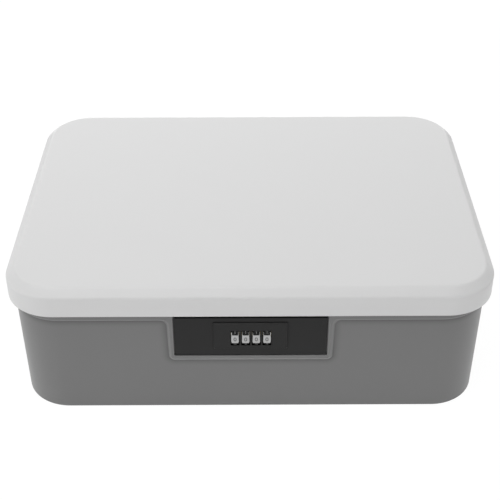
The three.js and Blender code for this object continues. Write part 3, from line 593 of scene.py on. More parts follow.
def carried_round(profile: np.ndarray, half: Pair, radius: float, middle: float, steps: int) -> Solid:
    """A profile carried round a rectangle with round corners.

    A point with inset i lies at the corner's centre plus (radius - i) * (cos angle, sin angle), so every
    ring is the same rectangle set in by its own inset.

    Args:
        profile: insets and heights, one row each.
        half: half the rectangle's width and depth.
        radius: the radius of its corners at inset 0.
        middle: where its middle lies along Y.
        steps: straight pieces in each corner.

    Returns:
        The closed solid.
    """
    quarters = [np.linspace(90 * corner, 90 * corner + 90, steps + 1) for corner in range(4)]
    turns = np.radians(np.concatenate(quarters))
    side_x = np.repeat([1, -1, -1, 1], steps + 1) * (half[0] - radius)
    side_y = np.repeat([1, 1, -1, -1], steps + 1) * (half[1] - radius) + middle
    reach = radius - profile[:, :1]
    x = side_x[None, :] + reach * np.cos(turns)[None, :]
    y = side_y[None, :] + reach * np.sin(turns)[None, :]
    z = np.repeat(profile[:, 1:2], len(turns), axis=1)
    return lofted(np.stack([x, y, z], axis=-1))


def block(low: Triple, high: Triple) -> Solid:
    """A plain block between two corners, as a tool to cut or keep with."""
    outline = np.array([[low[0], low[1]], [high[0], low[1]], [high[0], high[1]], [low[0], high[1]]])
    return lofted(np.stack([np.insert(outline, 2, height, axis=1) for height in (low[2], high[2])]))


def turned(places: np.ndarray, radii: np.ndarray, centre: Triple, axis: Axis, sides: int) -> Solid:
    """Radii turned about a line along one axis: centre + radius * (cos angle, sin angle) at each place.

    Args:
        places: where each ring lies along the axis.
        radii: each ring's radius, or the radius of each of its points, one row for each ring.
        centre: a point on the line. Its place along the axis is added to the places.
        axis: which way the line runs.
        sides: how many points each ring has.

    Returns:
        The closed solid.
    """
    angles = np.arange(sides)[None, :] * 2 * math.pi / sides
    along = np.repeat(places[:, None], sides, axis=1)
    first, second = radii * np.cos(angles), radii * np.sin(angles)
    order = {Axis.X: (along, first, second), Axis.Y: (second, along, first), Axis.Z: (first, second, along)}
    return lofted(np.stack(order[axis], axis=-1) + np.array(centre))


def rod(radius: float, span: Pair, centre: Triple, axis: Axis, sides: int) -> Solid:
    """A round bar along an axis, over a span measured from the centre."""
    return turned(np.array(span), np.full((2, 1), radius), centre, axis, sides)


def pushed_back(
    outline: Callable[[float], np.ndarray],
    face: float,
    back: float,
    edge: Triple,
    steps: int,
) -> Solid:
    """An upright outline given depth along Y, with a sloping front edge that is softened at both ends.

    The edge's section runs straight from the outline, at its reach behind the face, to the face at its
    width inside the outline.

    Args:
        outline: a function from an inset to the outline's points in X and Z.
        face: where the front face lies along Y.
        back: where the back lies along Y.
        edge: the front edge's width across the outline, its reach along Y and the radius of its ends.
        steps: straight pieces in each end.

    Returns:
        The closed solid.
    """
    width, reach, radius = edge
    corners = [(0, back, 0), (0, face + reach, radius), (width, face, radius), (width + radius, face, 0)]
    section = softened(corners, steps)
    rings = [np.insert(outline(inset), 1, depth, axis=1) for inset, depth in section]
    return lofted(np.stack(rings))


def rounded_rectangle(low: Pair, high: Pair, grow: float, radius: float, steps: int) -> np.ndarray:
    """The points of a rectangle with round corners, counter-clockwise from its lower right.

    Args:
        low: its lower left corner.
        high: its upper right corner.
        grow: how far its sides lie outside these corners.
        radius: the radius of its own corners.
        steps: straight pieces in each corner.

    Returns:
        Its points, one row each.
    """
    left, right = low[0] - grow + radius, high[0] + grow - radius
    bottom, top = low[1] - grow + radius, high[1] + grow - radius
    centres = [(right, bottom), (right, top), (left, top), (left, bottom)]
    starts = (-90, 0, 90, 180)
    return np.vstack([arc(at, radius, start, start + 90, steps) for at, start in zip(centres, starts)])


def flared(low: Pair, high: Pair, radii: Pair, depths: Pair, steps: int) -> Solid:
    """A cutter for an upright rectangular hole with round corners and a round mouth.

    At a turn t the mouth is wider by edge * (1 - sin t) and lies edge * (1 - cos t) behind the face.

    Args:
        low: the hole's lower left corner, in X and Z.
        high: its upper right corner.
        radii: the radius of its corners, and of its mouth's edge.
        depths: where the face and the hole's end lie along Y.
        steps: straight pieces in each arc.

    Returns:
        The closed solid.
    """
    corner, edge = radii
    face, end = depths
    turn = np.radians(np.linspace(0, 90, steps + 1))
    wider = np.concatenate([[edge], edge * (1 - np.sin(turn)), [0.0]])
    places = np.concatenate([[face - PAST], face + edge * (1 - np.cos(turn)), [end]])
    rings = [
        np.insert(rounded_rectangle(low, high, grow, corner + grow, steps), 1, place, axis=1)
        for grow, place in zip(wider, places)
    ]
    return lofted(np.stack(rings))


def new_front(
    node: str,
    edge: Triple,
    corner: float,
    depth: float,
    steps: tuple[int, int],
    opening: Solid | None = None,
) -> Solid:
    """A slab with round corners and a soft edge in place of a CAD node's front.

    Args:
        node: the CAD node.
        edge: the front edge's width, its reach along Y and the radius of its ends.
        corner: the radius of the slab's corners.
        depth: how thick the slab is. What lies behind it is the CAD node's.
        steps: straight pieces in each corner, and in the edge's ends.
        opening: what is cut out of the slab.

    Returns:
        The solid.
    """
    low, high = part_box(node)
    split = low.y + depth

    def outline(inset: float) -> np.ndarray:
        """The slab's outline, set in evenly."""
        return rounded_rectangle((low.x, low.z), (high.x, high.z), -inset, corner, steps[0])

    slab = pushed_back(outline, low.y, split, edge, steps[1])
    if opening is not None:
        slab.work(Joining.CUT, opening)
    front = block((low.x - PAST, low.y - PAST, low.z - PAST), (high.x + PAST, split, high.z + PAST))
    return slab.work(Joining.ADD, Solid.of_node(node).work(Joining.CUT, front))


def dress(piece: bpy.types.Object, material: Material, body: str, slot: str, *nodes: str) -> None:
    """Gives a new piece its finish and its body, and hides the nodes that it stands for.

    Args:
        piece: the piece.
        material: its finish.
        body: the CAD body that it moves with.
        slot: the record's slot. Not used.
        nodes: the CAD nodes that it replaces.
    """
    piece.data.materials.clear()
    piece.data.materials.append(material)
    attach(piece, body)
    if nodes:
        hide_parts(*nodes)
    LOG.info("%s: %d faces on %s", piece.name, len(piece.data.polygons), body)


@dataclass
class Hinges:
    """The knuckles of both hinges, which alternate between the body and the lid, and their pins."""

    from_side: float = 90 * MM
    count: int = 5
    length: float = 11.6 * MM
    space: float = 0.5 * MM
    radius: float = 3 * MM
    room: float = 0.4 * MM
    bore: float = 1.55 * MM
    head_room: float = 2.6 * MM
    head_reach: float = 1.3 * MM
    edge: float = 0.35 * MM
    core: float = 0.2 * MM  # the radius at the middle of a bar's flat end
    axis_z: float = 92.5 * MM
    steps: int = 4
    sides: int = 48
    pin_radius: float = 1.25 * MM
    pin_core: float = 0.1 * MM
    pin_steps: int = 5
    head_radius: float = 2.2 * MM
    head_height: float = 0.8 * MM
    head_edges: Triple = (0.35 * MM, 0.15 * MM, 0.1 * MM)
    tail_length: float = 1.2 * MM
    tail_radius: float = 0.7 * MM
    tail_edges: Pair = (0.5 * MM, 0.2 * MM)
    centres: list[float] = field(init=False)
    axis_y: float = field(init=False)

    def __post_init__(self) -> None:
        """Finds the axis from the pins, and the hinges' middles from the lid's sides."""
        low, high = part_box("hinge_pin_left")
        lid_low, lid_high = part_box("lid_shell")
        self.axis_y = (low.y + high.y) / 2
        self.centres = [lid_low.x + self.from_side, lid_high.x - self.from_side]

    @staticmethod
    def outer_end(node: str) -> float:
        """Where a pin's head ends along X."""
        low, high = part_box(node)
        return low.x if PIN_SIDES[node] < 0 else high.x

    def spans(self, parity: int) -> list[Pair]:
        """The ends of each knuckle of one side.

        Args:
            parity: 0 for the body, 1 for the lid.

        Returns:
            Where each knuckle starts and ends along X.
        """
        pitch = self.length + self.space
        starts = [centre - (self.count * pitch - self.space) / 2 for centre in self.centres]
        lefts = [start + number * pitch for start in starts for number in range(parity, self.count, 2)]
        return [(left, left + self.length) for left in lefts]

    def around(self, radius: float, span: Pair, edge: float = 0.0) -> Solid:
        """A bar round the hinge axis, with round edges where they are asked for."""
        corners = [
            (span[0], self.core, 0),
            (span[0], radius, edge),
            (span[1], radius, edge),
            (span[1], self.core, 0),
        ]
        return self.spun(softened(corners, self.steps))

    def spun(self, profile: np.ndarray) -> Solid:
        """A profile of places along X and radii, turned about the hinge axis."""
        middle = (0, self.axis_y, self.axis_z)
        return turned(profile[:, 0], profile[:, 1:2], middle, Axis.X, self.sides)

    def knuckles(self, parity: int, arm: tuple[Pair, Pair]) -> list[Solid]:
        """The knuckles of one side, each with the arm that joins it to its wall.

        Args:
            parity: 0 for the body, 1 for the lid.
            arm: the arm's reach along Y and Z.

        Returns:
            The knuckles and arms, to be joined to the wall.
        """
        made = []
        (near, far), (bottom, top) = arm
        for left, right in self.spans(parity):
            made.append(self.around(self.radius, (left, right), self.edge))
            made.append(block((left + self.edge, near, bottom), (right - self.edge, far, top)))
        return made

    def rooms(self, parity: int) -> list[Solid]:
        """What clears the other side's knuckles: a wider bar over each, and over the space beside it."""
        return [
            self.around(self.radius + self.room, (left - self.space, right + self.space))
            for left, right in self.spans(1 - parity)
        ]

    def bores(self) -> list[Solid]:
        """The long holes for both pins."""
        reach = (self.count * (self.length + self.space) + self.space) / 2
        return [self.around(self.bore, (centre - reach, centre + reach)) for centre in self.centres]

    def head_rooms(self) -> list[Solid]:
        """The room for the pins' heads beside the outermost knuckles.

        Returns:
            The cutters.
        """
        made = []
        for node, side in PIN_SIDES.items():
            end = self.outer_end(node)
            span = sorted((end - side * self.head_reach, end + side * self.space))
            made.append(self.around(self.head_room, tuple(span)))
        return made

    def pins(self, material: Material) -> None:
        """The two pins, each with a domed head at its outer end and a pointed tail.

        Args:
            material: their finish.
        """
        for node, side in PIN_SIDES.items():
            low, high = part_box(node)
            length = high.x - low.x
            corners = [
                (0, self.pin_core, 0),
                (0, self.head_radius, self.head_edges[0]),
                (self.head_height, self.head_radius, self.head_edges[1]),
                (self.head_height, self.pin_radius, self.head_edges[2]),
                (length - self.tail_length, self.pin_radius, self.tail_edges[0]),
                (length, self.tail_radius, self.tail_edges[1]),
                (length, self.pin_core, 0),
            ]
            profile = softened(corners, self.pin_steps)
            profile[:, 0] = self.outer_end(node) - side * profile[:, 0]
            dress(self.spun(profile).finished(node + "_fine"), material, "box_body", "steel", node)


@dataclass
class LidCover:
    """The white lid: a flat top, a bevel, a skirt, a rib that seats on the rim, and the strike's boss."""

    corner_radius: float = 39 * MM
    bevel_height: float = 6 * MM
    bevel_inset: float = 6.5 * MM
    skirt_height: float = 16.5 * MM
    crease: float = 3.5 * MM
    lower_edge: float = 0.45 * MM
    wall: float = 2.4 * MM
    rib_inset: float = 4.2 * MM
    rib_width: float = 2 * MM
    rib_bottom: float = 108.8 * MM
    inner_radius: float = 0.6 * MM
    flat_ring: float = 5 * MM  # how far inside the bevel the flat has one more ring
    boss_height: float = 3 * MM
    boss_margin: float = 1.6 * MM
    boss_root: float = 0.3 * MM
    flange_depth: float = 12 * MM
    screw_hole: float = 1.25 * MM
    hole_reach: float = 0.15 * MM
    hole_sides: int = 48
    corner_steps: int = 28
    edge_steps: int = 8

    def profile(self, top: float) -> np.ndarray:
        """The lid's section: insets and heights, from its top's middle to its underside's middle.

        Args:
            top: the height of the flat top.

        Returns:
            The section's points.
        """
        skirt_top = top - self.bevel_height
        skirt_bottom = skirt_top - self.skirt_height
        under = top - self.wall
        slope = math.atan2(self.bevel_height, self.bevel_inset)
        inner_crease = skirt_top - self.wall * math.tan((math.pi / 2 - slope) / 2)
        rise = math.tan(slope)
        rib_end = self.rib_inset + self.rib_width
        middle = self.corner_radius * MIDDLE_SHARE
        corners = [
            (middle, top, 0),
            (self.bevel_inset + self.flat_ring, top, 0),
            (self.bevel_inset, top, self.crease),
            (0, skirt_top, self.crease),
            (0, skirt_bottom, self.lower_edge),
            (self.wall, skirt_bottom, self.lower_edge),
            (self.wall, inner_crease, 0),
            (self.rib_inset, inner_crease + (self.rib_inset - self.wall) * rise, 0),
            (self.rib_inset, self.rib_bottom, self.inner_radius),
            (rib_end, self.rib_bottom, self.inner_radius),
            (rib_end, inner_crease + (rib_end - self.wall) * rise, 0),
            (self.wall + (under - inner_crease) / rise, under, 0),
            (self.bevel_inset + self.flat_ring, under, 0),
            (middle, under, 0),
        ]
        return softened(corners, self.edge_steps)

    def build(self, hinges: Hinges, material: Material) -> None:
        """Builds the lid with its knuckles and the strike's boss.

        Args:
            hinges: the hinges that it turns on.
            material: its finish.
        """
        low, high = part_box("lid_shell")
        back = low.y + LID_DEPTH
        half = ((high.x - low.x) / 2, (back - low.y) / 2)
        middle = (low.y + back) / 2
        lid = carried_round(self.profile(high.z), half, self.corner_radius, middle, self.corner_steps)
        skirt_bottom = high.z - self.bevel_height - self.skirt_height
        arm = ((back - self.wall, back), (hinges.axis_z, skirt_bottom + self.wall / 2))
        lid.work(Joining.ADD, self.boss(high.z - self.wall), *hinges.knuckles(1, arm))
        lid.work(Joining.CUT, *hinges.rooms(1), *hinges.head_rooms(), *hinges.bores())
        dress(lid.finished("lid_cover"), material, "lid", "lid_white", "lid_shell")

    def boss(self, under: float) -> Solid:
        """The block under the lid that the strike is screwed to, with its two screw holes.

        Args:
            under: the height of the lid's underside.

        Returns:
            The boss, a little way into the lid.
        """
        low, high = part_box("strike_plate")
        first = (low.x, high.y - self.flange_depth - self.boss_margin, under - self.boss_height)
        boss = block(first, (high.x, high.y, under + self.boss_root))
        for node in ("strike_screw_1", "strike_screw_2"):
            screw_low, screw_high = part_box(node)
            centre = ((screw_low.x + screw_high.x) / 2, (screw_low.y + screw_high.y) / 2, 0)
            span = (screw_low.z, screw_high.z + self.hole_reach)
            boss.work(Joining.CUT, rod(self.screw_hole, span, centre, Axis.Z, self.hole_sides))
        return boss


@dataclass
class Tub:
    """The grey body: drafted walls, a band round the rim, a foot ring, and the frame round the plate."""

    wall_inset: float = 4.4 * MM
    draft: float = 1.5 * MM
    draft_height: float = 94.5 * MM
    corner_radius: float = 42.4 * MM
    wall: float = 2.5 * MM
    floor_top: float = 3.5 * MM
    floor_fillet: float = 1 * MM
    foot_edge: float = 1.6 * MM
    foot_width: float = 8 * MM
    foot_recess: float = 1 * MM
    band_inset: float = 3.6 * MM
    band_bottom: float = 87.6 * MM
    band_step: float = 1 * MM
    band_edge: float = 0.7 * MM
    rim_edge: float = 0.6 * MM
    small_edge: float = 0.2 * MM
    flat_ring: float = 2 * MM  # how far inside its edge a flat has one more ring
    corner_steps: int = 28
    edge_steps: int = 6
    crease: float = 28.0
    # painted shade in the creases beside the band and frame, and a painted highlight on their edges
    crease_depth: float = 0.42
    crease_reach: float = 7 * MM
    edge_gain: float = 0.18
    lower_edge_gain: float = 0.65
    edge_place: float = 1.3 * MM
    edge_width: float = 1.1 * MM

    def tone(self, recipe: Recipe, lock: "LockFront") -> Wire:
        """Painted light on the grey near the raised band and frame: a painted highlight on their edges, and
        painted shade in the creases beside them.

        With a the distance below the band, b the distance outside the frame and r the neck's radius, the
        distance from the raised forms is d = max(r, min(a, b)) - sqrt(max(r - a, 0)^2 + max(r - b, 0)^2).

        Args:
            recipe: the material's nodes.
            lock: the front of the lock, which gives the frame.

        Returns:
            The factor of painted shade and painted highlight on the colour, which is 1 inside the tub and
            far from the forms.
        """
        place = recipe.node("ShaderNodeTexCoord", output="Object")
        facing = recipe.node("ShaderNodeTexCoord", output="Normal")
        both = {0: place, 1: facing}
        outwards = recipe.node("ShaderNodeVectorMath", both, output="Value", operation="DOT_PRODUCT")
        below = self.band_bottom - place.along(Axis.Z)
        frame_away = lock.distance(place)
        neck = lock.neck_radius
        corner = (neck - below).at_least(0.0) ** 2 + (neck - frame_away).at_least(0.0) ** 2
        away = below.at_most(frame_away).at_least(neck) - corner**0.5
        # painted shade: darkest at the foot of the raised forms, fading out away from them
        deep = (1.0 - away / self.crease_reach).at_least(0.0) ** 2 * (away > 0.0)
        # painted highlight: a strip of lighter colour on the edges of the band and frame
        light = (1.0 - abs(away + self.edge_place) / self.edge_width).at_least(0.0)
        # the painted highlight is stronger where the edges turn down
        turned_down = (0.0 - facing.along(Axis.Z)).at_least(0.0)
        painted_highlight_strength = turned_down * self.lower_edge_gain + self.edge_gain
        # both are painted on the outer wall only
        return (outwards > 0.0) * (light * painted_highlight_strength - deep * self.crease_depth) + 1.0

    def inset_at(self, height: float) -> float:
        """How far the outer wall stands in from the lid's face at a height."""
        return self.wall_inset + self.draft * (self.draft_height - height) / self.draft_height

    def profile(self, rim: float) -> np.ndarray:
        """The tub's section: insets and heights, from its floor's middle to its underside's middle.

        Args:
            rim: the height of the rim.

        Returns:
            The section's points.
        """
        middle = self.corner_radius * MIDDLE_SHARE
        inner_floor = self.inset_at(self.floor_top) + self.wall
        foot_end = self.inset_at(0) + self.foot_width
        corners = [
            (middle, self.floor_top, 0),
            (inner_floor + self.floor_fillet + self.flat_ring, self.floor_top, 0),
            (inner_floor, self.floor_top, self.floor_fillet),
            (self.inset_at(rim) + self.wall, rim, self.rim_edge),
            (self.band_inset, rim, self.rim_edge),
            (self.band_inset, self.band_bottom + self.band_step, self.band_edge),
            (self.inset_at(self.band_bottom), self.band_bottom, self.small_edge),
            (self.inset_at(0), 0, self.foot_edge),
            (foot_end, 0, self.small_edge),
            (foot_end, self.foot_recess, self.small_edge),
            (foot_end + self.flat_ring, self.foot_recess, 0),
            (middle, self.foot_recess, 0),
        ]
        return softened(corners, self.edge_steps)

    def build(self, hinges: Hinges, lock: "LockFront", material: Material) -> None:
        """Builds the tub, with the lock's housing taken over from the CAD node.

        Args:
            hinges: the hinges that its knuckles belong to.
            lock: the front of the lock, which gives the frame.
            material: its finish.
        """
        lid_low, lid_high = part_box("lid_shell")
        half = ((lid_high.x - lid_low.x) / 2, LID_DEPTH / 2)
        middle = lid_low.y + half[1]
        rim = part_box("body_tub")[1].z
        profile = self.profile(rim)
        tub = carried_round(profile, half, self.corner_radius, middle, self.corner_steps)
        arm_start = lid_low.y + LID_DEPTH - self.wall_inset - self.wall / 2
        arm_heights = (hinges.axis_z - hinges.radius, hinges.axis_z + hinges.radius / 2)
        arm = ((arm_start, hinges.axis_y), arm_heights)
        tub.work(Joining.ADD, lock.frame_block(rim - self.band_step))
        tub.work(Joining.CUT, lock.housing_room(), lock.recess())
        housing = Solid.of_node("body_tub").work(Joining.KEEP, lock.housing_room())
        tub.work(Joining.ADD, housing)
        tub.work(Joining.CUT, *hinges.rooms(0))
        tub.work(Joining.ADD, *hinges.knuckles(0, arm))
        tub.work(Joining.CUT, *hinges.bores())
        dress(tub.finished("tub_moulding", self.crease), material, "box_body", "body_grey", "body_tub")


@dataclass
class LockFront:
    """What shows of the lock: the frame on the tub, the black plate, the sliding block with its windows."""

    gap: float = 0.7 * MM
    top_gap: float = 1.8 * MM
    side_width: float = 4.2 * MM
    side_taper: float = 0.6 * MM
    foot_height: float = 5.0 * MM
    foot_radius: float = 4.5 * MM
    neck_radius: float = 5.5 * MM
    neck_top: float = 88.6 * MM
    wing: float = 2 * MM
    frame_proud: float = 0.4 * MM
    frame_root: float = 2.6 * MM
    frame_edge: Triple = (2.0 * MM, 1.2 * MM, 0.3 * MM)
    mouth_edge: float = 0.25 * MM
    recess_depth: float = 1.6 * MM
    plate_edge: Triple = (0.25 * MM, 0.25 * MM, 0.08 * MM)
    plate_corner: float = 0.6 * MM
    plate_split: float = 0.9 * MM
    opening_x: Pair = (-22.5 * MM, 28 * MM)
    opening_z: Pair = (62.4 * MM, 84.2 * MM)
    block_edge: Triple = (0.85 * MM, 1.0 * MM, 0.12 * MM)
    block_corner: float = 1.0 * MM
    block_split: float = 1.12 * MM
    housing_margin: float = 7 * MM
    housing_top: float = 3 * MM
    housing_front: float = 1.4 * MM
    housing_back: float = 28 * MM
    window_width: float = 6.6 * MM
    window_half_height: float = 6.8 * MM
    window_corner: float = 0.5 * MM
    window_edge: float = 0.2 * MM
    window_depth: float = 1.5 * MM
    sweep: float = 11.3 * MM
    sweep_sides: int = 120
    steps: int = 10
    edge_steps: int = 4
    plate: tuple[Vector, Vector] = field(init=False)
    slide: tuple[Vector, Vector] = field(init=False)

    def __post_init__(self) -> None:
        """Reads the plate's and the block's places from the frame."""
        self.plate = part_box("lock_faceplate")
        self.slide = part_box("slide_block")

    def frame_outline(self, inset: float, top: float) -> np.ndarray:
        """The frame's outline, set in evenly: its feet's arcs shrink and its necks' arcs grow.

        Args:
            inset: how far the outline is set in.
            top: the height that the frame reaches.

        Returns:
            Its points in X and Z.
        """
        low, high = self.plate
        middle = (low.x + high.x) / 2
        top_half = (high.x - low.x) / 2 + self.gap + self.side_width + self.side_taper
        neck_x = top_half + self.neck_radius
        neck_z = self.neck_top - self.neck_radius
        foot_x = top_half - self.side_taper - self.foot_radius
        foot_z = low.z - self.gap - self.foot_height + self.foot_radius
        right = np.vstack(
            [
                arc((foot_x, foot_z), self.foot_radius - inset, -90, 0, self.steps),
                arc((neck_x, neck_z), self.neck_radius + inset, 180, 90, self.steps),
                [[neck_x + self.wing, self.neck_top + inset]],
                [[neck_x + self.wing, top - inset]],
            ]
        )
        left = right[::-1] * np.array([-1, 1])
        return np.vstack([right, left]) + np.array([middle, 0])

    def distance(self, place: Wire) -> Wire:
        """How far a point of the front wall lies outside the frame, whose feet are round.

        Args:
            place: the point.

        Returns:
            The distance, less than 0 on the frame and more than a metre on the back wall.
        """
        low, high = self.plate
        x, y, z = (place.along(axis) for axis in Axis)
        foot = low.z - self.gap - self.foot_height
        slope = self.side_taper / (self.neck_top - self.neck_radius - foot - self.foot_radius)
        foot_half = (high.x - low.x) / 2 + self.gap + self.side_width
        half = (z - (foot + self.foot_radius)) * slope + foot_half
        beside = (abs(x - (low.x + high.x) / 2) - half + self.foot_radius).at_least(0.0)
        under = (foot + self.foot_radius - z).at_least(0.0)
        return (beside**2 + under**2) ** 0.5 - self.foot_radius + (y > 0.0)

    def frame_block(self, top: float) -> Solid:
        """The raised frame, before its recess is cut.

        Args:
            top: the highest that it may reach.

        Returns:
            The frame, which reaches into the tub's wall.
        """
        face = self.plate[0].y - self.frame_proud

        def outline(inset: float) -> np.ndarray:
            """The frame's outline up to its top."""
            return self.frame_outline(inset, top)

        return pushed_back(outline, face, face + self.frame_root, self.frame_edge, self.edge_steps)

    def recess(self) -> Solid:
        """What is cut out of the frame for the plate, with a round mouth.

        Returns:
            The cutter.
        """
        low, high = self.plate
        first = (low.x - self.gap, low.z - self.gap)
        last = (high.x + self.gap, high.z + self.top_gap)
        depths = (low.y - self.frame_proud, low.y + self.recess_depth)
        return flared(first, last, (self.plate_corner, self.mouth_edge), depths, self.edge_steps)

    def housing_room(self) -> Solid:
        """The region behind the plate that holds the lock's housing.

        Returns:
            The region as a block.
        """
        low, high = self.plate
        margin = self.housing_margin
        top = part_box("lock_back_cover")[1].z + self.housing_top
        first = (low.x - margin, low.y + self.housing_front, low.z - margin - self.gap)
        return block(first, (high.x + margin, low.y + self.housing_back, top))

    def faceplate(self, material: Material) -> None:
        """The black plate: a slab with softened edges in front of the CAD node's bosses and opening.

        Args:
            material: the plate's finish.
        """
        low, high = self.plate
        first = (self.opening_x[0], low.y - PAST, self.opening_z[0])
        opening = block(first, (self.opening_x[1], high.y, self.opening_z[1]))
        node = "lock_faceplate"
        steps = (self.edge_steps, self.edge_steps)
        plate = new_front(node, self.plate_edge, self.plate_corner, self.plate_split, steps, opening)
        dress(plate.finished("lock_plate"), material, "box_body", "lock_black", node)

    def sliding_block(self, dials: "DialRow", material: Material) -> None:
        """The raised block with a softened edge and four windows, in front of the CAD node's neck.

        Args:
            dials: the dials that show in the windows.
            material: the block's finish.
        """
        node = "slide_block"
        steps = (self.steps, self.edge_steps)
        face = new_front(node, self.block_edge, self.block_corner, self.block_split, steps)
        face.work(Joining.CUT, *[self.window(x, dials) for x in dials.middles])
        face.work(Joining.CUT, *[self.window_sweep(x, dials) for x in dials.middles])
        dress(face.finished("lock_slide_block"), material, "lock_slide", "lock_black", node)

    def window(self, x: float, dials: "DialRow") -> Solid:
        """One window's cutter, which flares at the block's face.

        Args:
            x: the window's middle.
            dials: the dials, for the height of their axis.

        Returns:
            The cutter.
        """
        face = self.slide[0].y
        half_width = self.window_width / 2
        first = (x - half_width, dials.axis_z - self.window_half_height)
        last = (x + half_width, dials.axis_z + self.window_half_height)
        depths = (face, face + self.window_depth)
        return flared(first, last, (self.window_corner, self.window_edge), depths, self.edge_steps)

    def window_sweep(self, x: float, dials: "DialRow") -> Solid:
        """The round room behind a window that its dial turns in."""
        span = (x - self.window_width / 2, x + self.window_width / 2)
        return rod(self.sweep, span, (0, dials.axis_y, dials.axis_z), Axis.X, self.sweep_sides)


@dataclass
class DialRow:
    """The four dials: ten flat faces each, softened at every edge, with painted figures."""

    faces: int = 10
    corner_radius: float = 11 * MM
    sharpness: float = 450.0
    shoulder_start: float = 1.9 * MM
    shoulder_drop: float = 1.2 * MM
    softness: float = 0.05 * MM
    clearance: float = 0.02 * MM
    around_steps: int = 200
    along_steps: int = 32
    crease: float = 28.0
    figure_size: float = 4.9 * MM
    figure_proud: float = 0.03 * MM
    figure_weight: float = 0.12 * MM
    figure_steps: int = 6
    middles: list[float] = field(init=False)
    half_width: float = field(init=False)
    axis_y: float = field(init=False)
    axis_z: float = field(init=False)

    def __post_init__(self) -> None:
        """Reads the dials' places from the frame."""
        boxes = [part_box(f"dial_wheel_{number}") for number in range(1, 5)]
        self.middles = [(low.x + high.x) / 2 for low, high in boxes]
        low, high = boxes[0]
        self.half_width = (high.x - low.x) / 2
        self.axis_y = low.y + self.face_distance()
        self.axis_z = (low.z + high.z) / 2

    def face_distance(self) -> float:
        """How far each flat face lies from the axis."""
        return self.corner_radius * math.cos(math.pi / self.faces)

    def wheel(self, x: float) -> Solid:
        """One dial's outer form.

        The radius at an angle a is the faces' distance over the p-norm of cos(a - face angle), which is a
        polygon with soft corners. Near each side it is held under an elliptical shoulder by a soft
        minimum, -s * log(exp(-first / s) + exp(-second / s)).

        Args:
            x: the dial's middle.

        Returns:
            The solid, without its bore.
        """
        angles = np.arange(self.around_steps) * 2 * math.pi / self.around_steps
        face_angles = np.arange(self.faces) * 2 * math.pi / self.faces + math.pi
        along = self.half_width * np.sin(np.linspace(-math.pi / 2, math.pi / 2, self.along_steps + 1))
        nearness = np.maximum(np.cos(angles[:, None] - face_angles[None, :]), 0)
        norm = (nearness**self.sharpness).sum(axis=1) ** (1 / self.sharpness)
        polygon = (self.face_distance() - self.clearance) / norm
        shoulder_width = self.half_width - self.shoulder_start
        beyond = np.clip((np.abs(along) - self.shoulder_start) / shoulder_width, 0, 1)
        shoulder = self.corner_radius - self.shoulder_drop * (1 - np.sqrt(1 - beyond**2))
        first = polygon[None, :]
        second = shoulder[:, None]
        radius = -self.softness * np.logaddexp(-first / self.softness, -second / self.softness)
        return turned(along, radius, (x, self.axis_y, self.axis_z), Axis.X, self.around_steps)

    def figure(self, digit: int, x: float) -> bpy.types.Mesh:
        """One painted figure on its face: the next figure is on the next face up.

        Args:
            digit: the figure, from 0 to 9. 0 faces the front.
            x: the dial's middle.

        Returns:
            The figure, in its place.
        """
        curve = bpy.data.curves.new("figure", "FONT")
        curve.body = str(digit)
        curve.size = self.figure_size
        curve.align_x = "CENTER"
        curve.align_y = "CENTER"
        curve.extrude = self.figure_proud
        curve.offset = self.figure_weight
        curve.resolution_u = self.figure_steps
        text = placed("figure", curve)
        mesh = as_mesh(text)
        bpy.data.objects.remove(text)
        axis = Matrix.Translation((x, self.axis_y, self.axis_z))
        turn = Matrix.Rotation(-2 * math.pi * digit / self.faces, 4, "X")
        outwards = Matrix.Translation((0, -self.face_distance(), 0))
        upright = Matrix.Rotation(math.pi / 2, 4, "X")
        points = np.array([vertex.co[:2] for vertex in mesh.vertices])
        middle = (points.min(axis=0) + points.max(axis=0)) / 2
        centring = Matrix.Translation((-middle[0], -middle[1], 0))
        mesh.transform(axis @ turn @ outwards @ upright @ centring)
        return mesh

    def build(self, metal: Material, paint: Material) -> None:
        """Builds every dial, with the bore and notches of its CAD node, and its ring of figures.

        Args:
            metal: the dials' finish.
            paint: the figures' finish.
        """
        for number, x in enumerate(self.middles, 1):
            node = f"dial_wheel_{number}"
            body = f"dial_{number}"
            wheel = self.wheel(x).work(Joining.KEEP, Solid.of_node(node))
            dress(wheel.finished(body + "_wheel", self.crease), metal, body, "dial_chrome", node)
            figures = [self.figure(digit, x) for digit in range(self.faces)]
            dress(joined(body + "_figures", figures), paint, body, "dial_chrome")


def joined(name: str, meshes: list[bpy.types.Mesh]) -> bpy.types.Object:
    """Puts several meshes into one piece.

    Args:
        name: the piece's name.
        meshes: the meshes, which are used up.

    Returns:
        The piece.
    """
    shape = bmesh.new()
    for mesh in meshes:
        shape.from_mesh(mesh)
        bpy.data.meshes.remove(mesh)
    bmesh.ops.recalc_face_normals(shape, faces=shape.faces)
    whole = bpy.data.meshes.new(name)
    shape.to_mesh(whole)
    shape.free()
    return placed(name, whole)


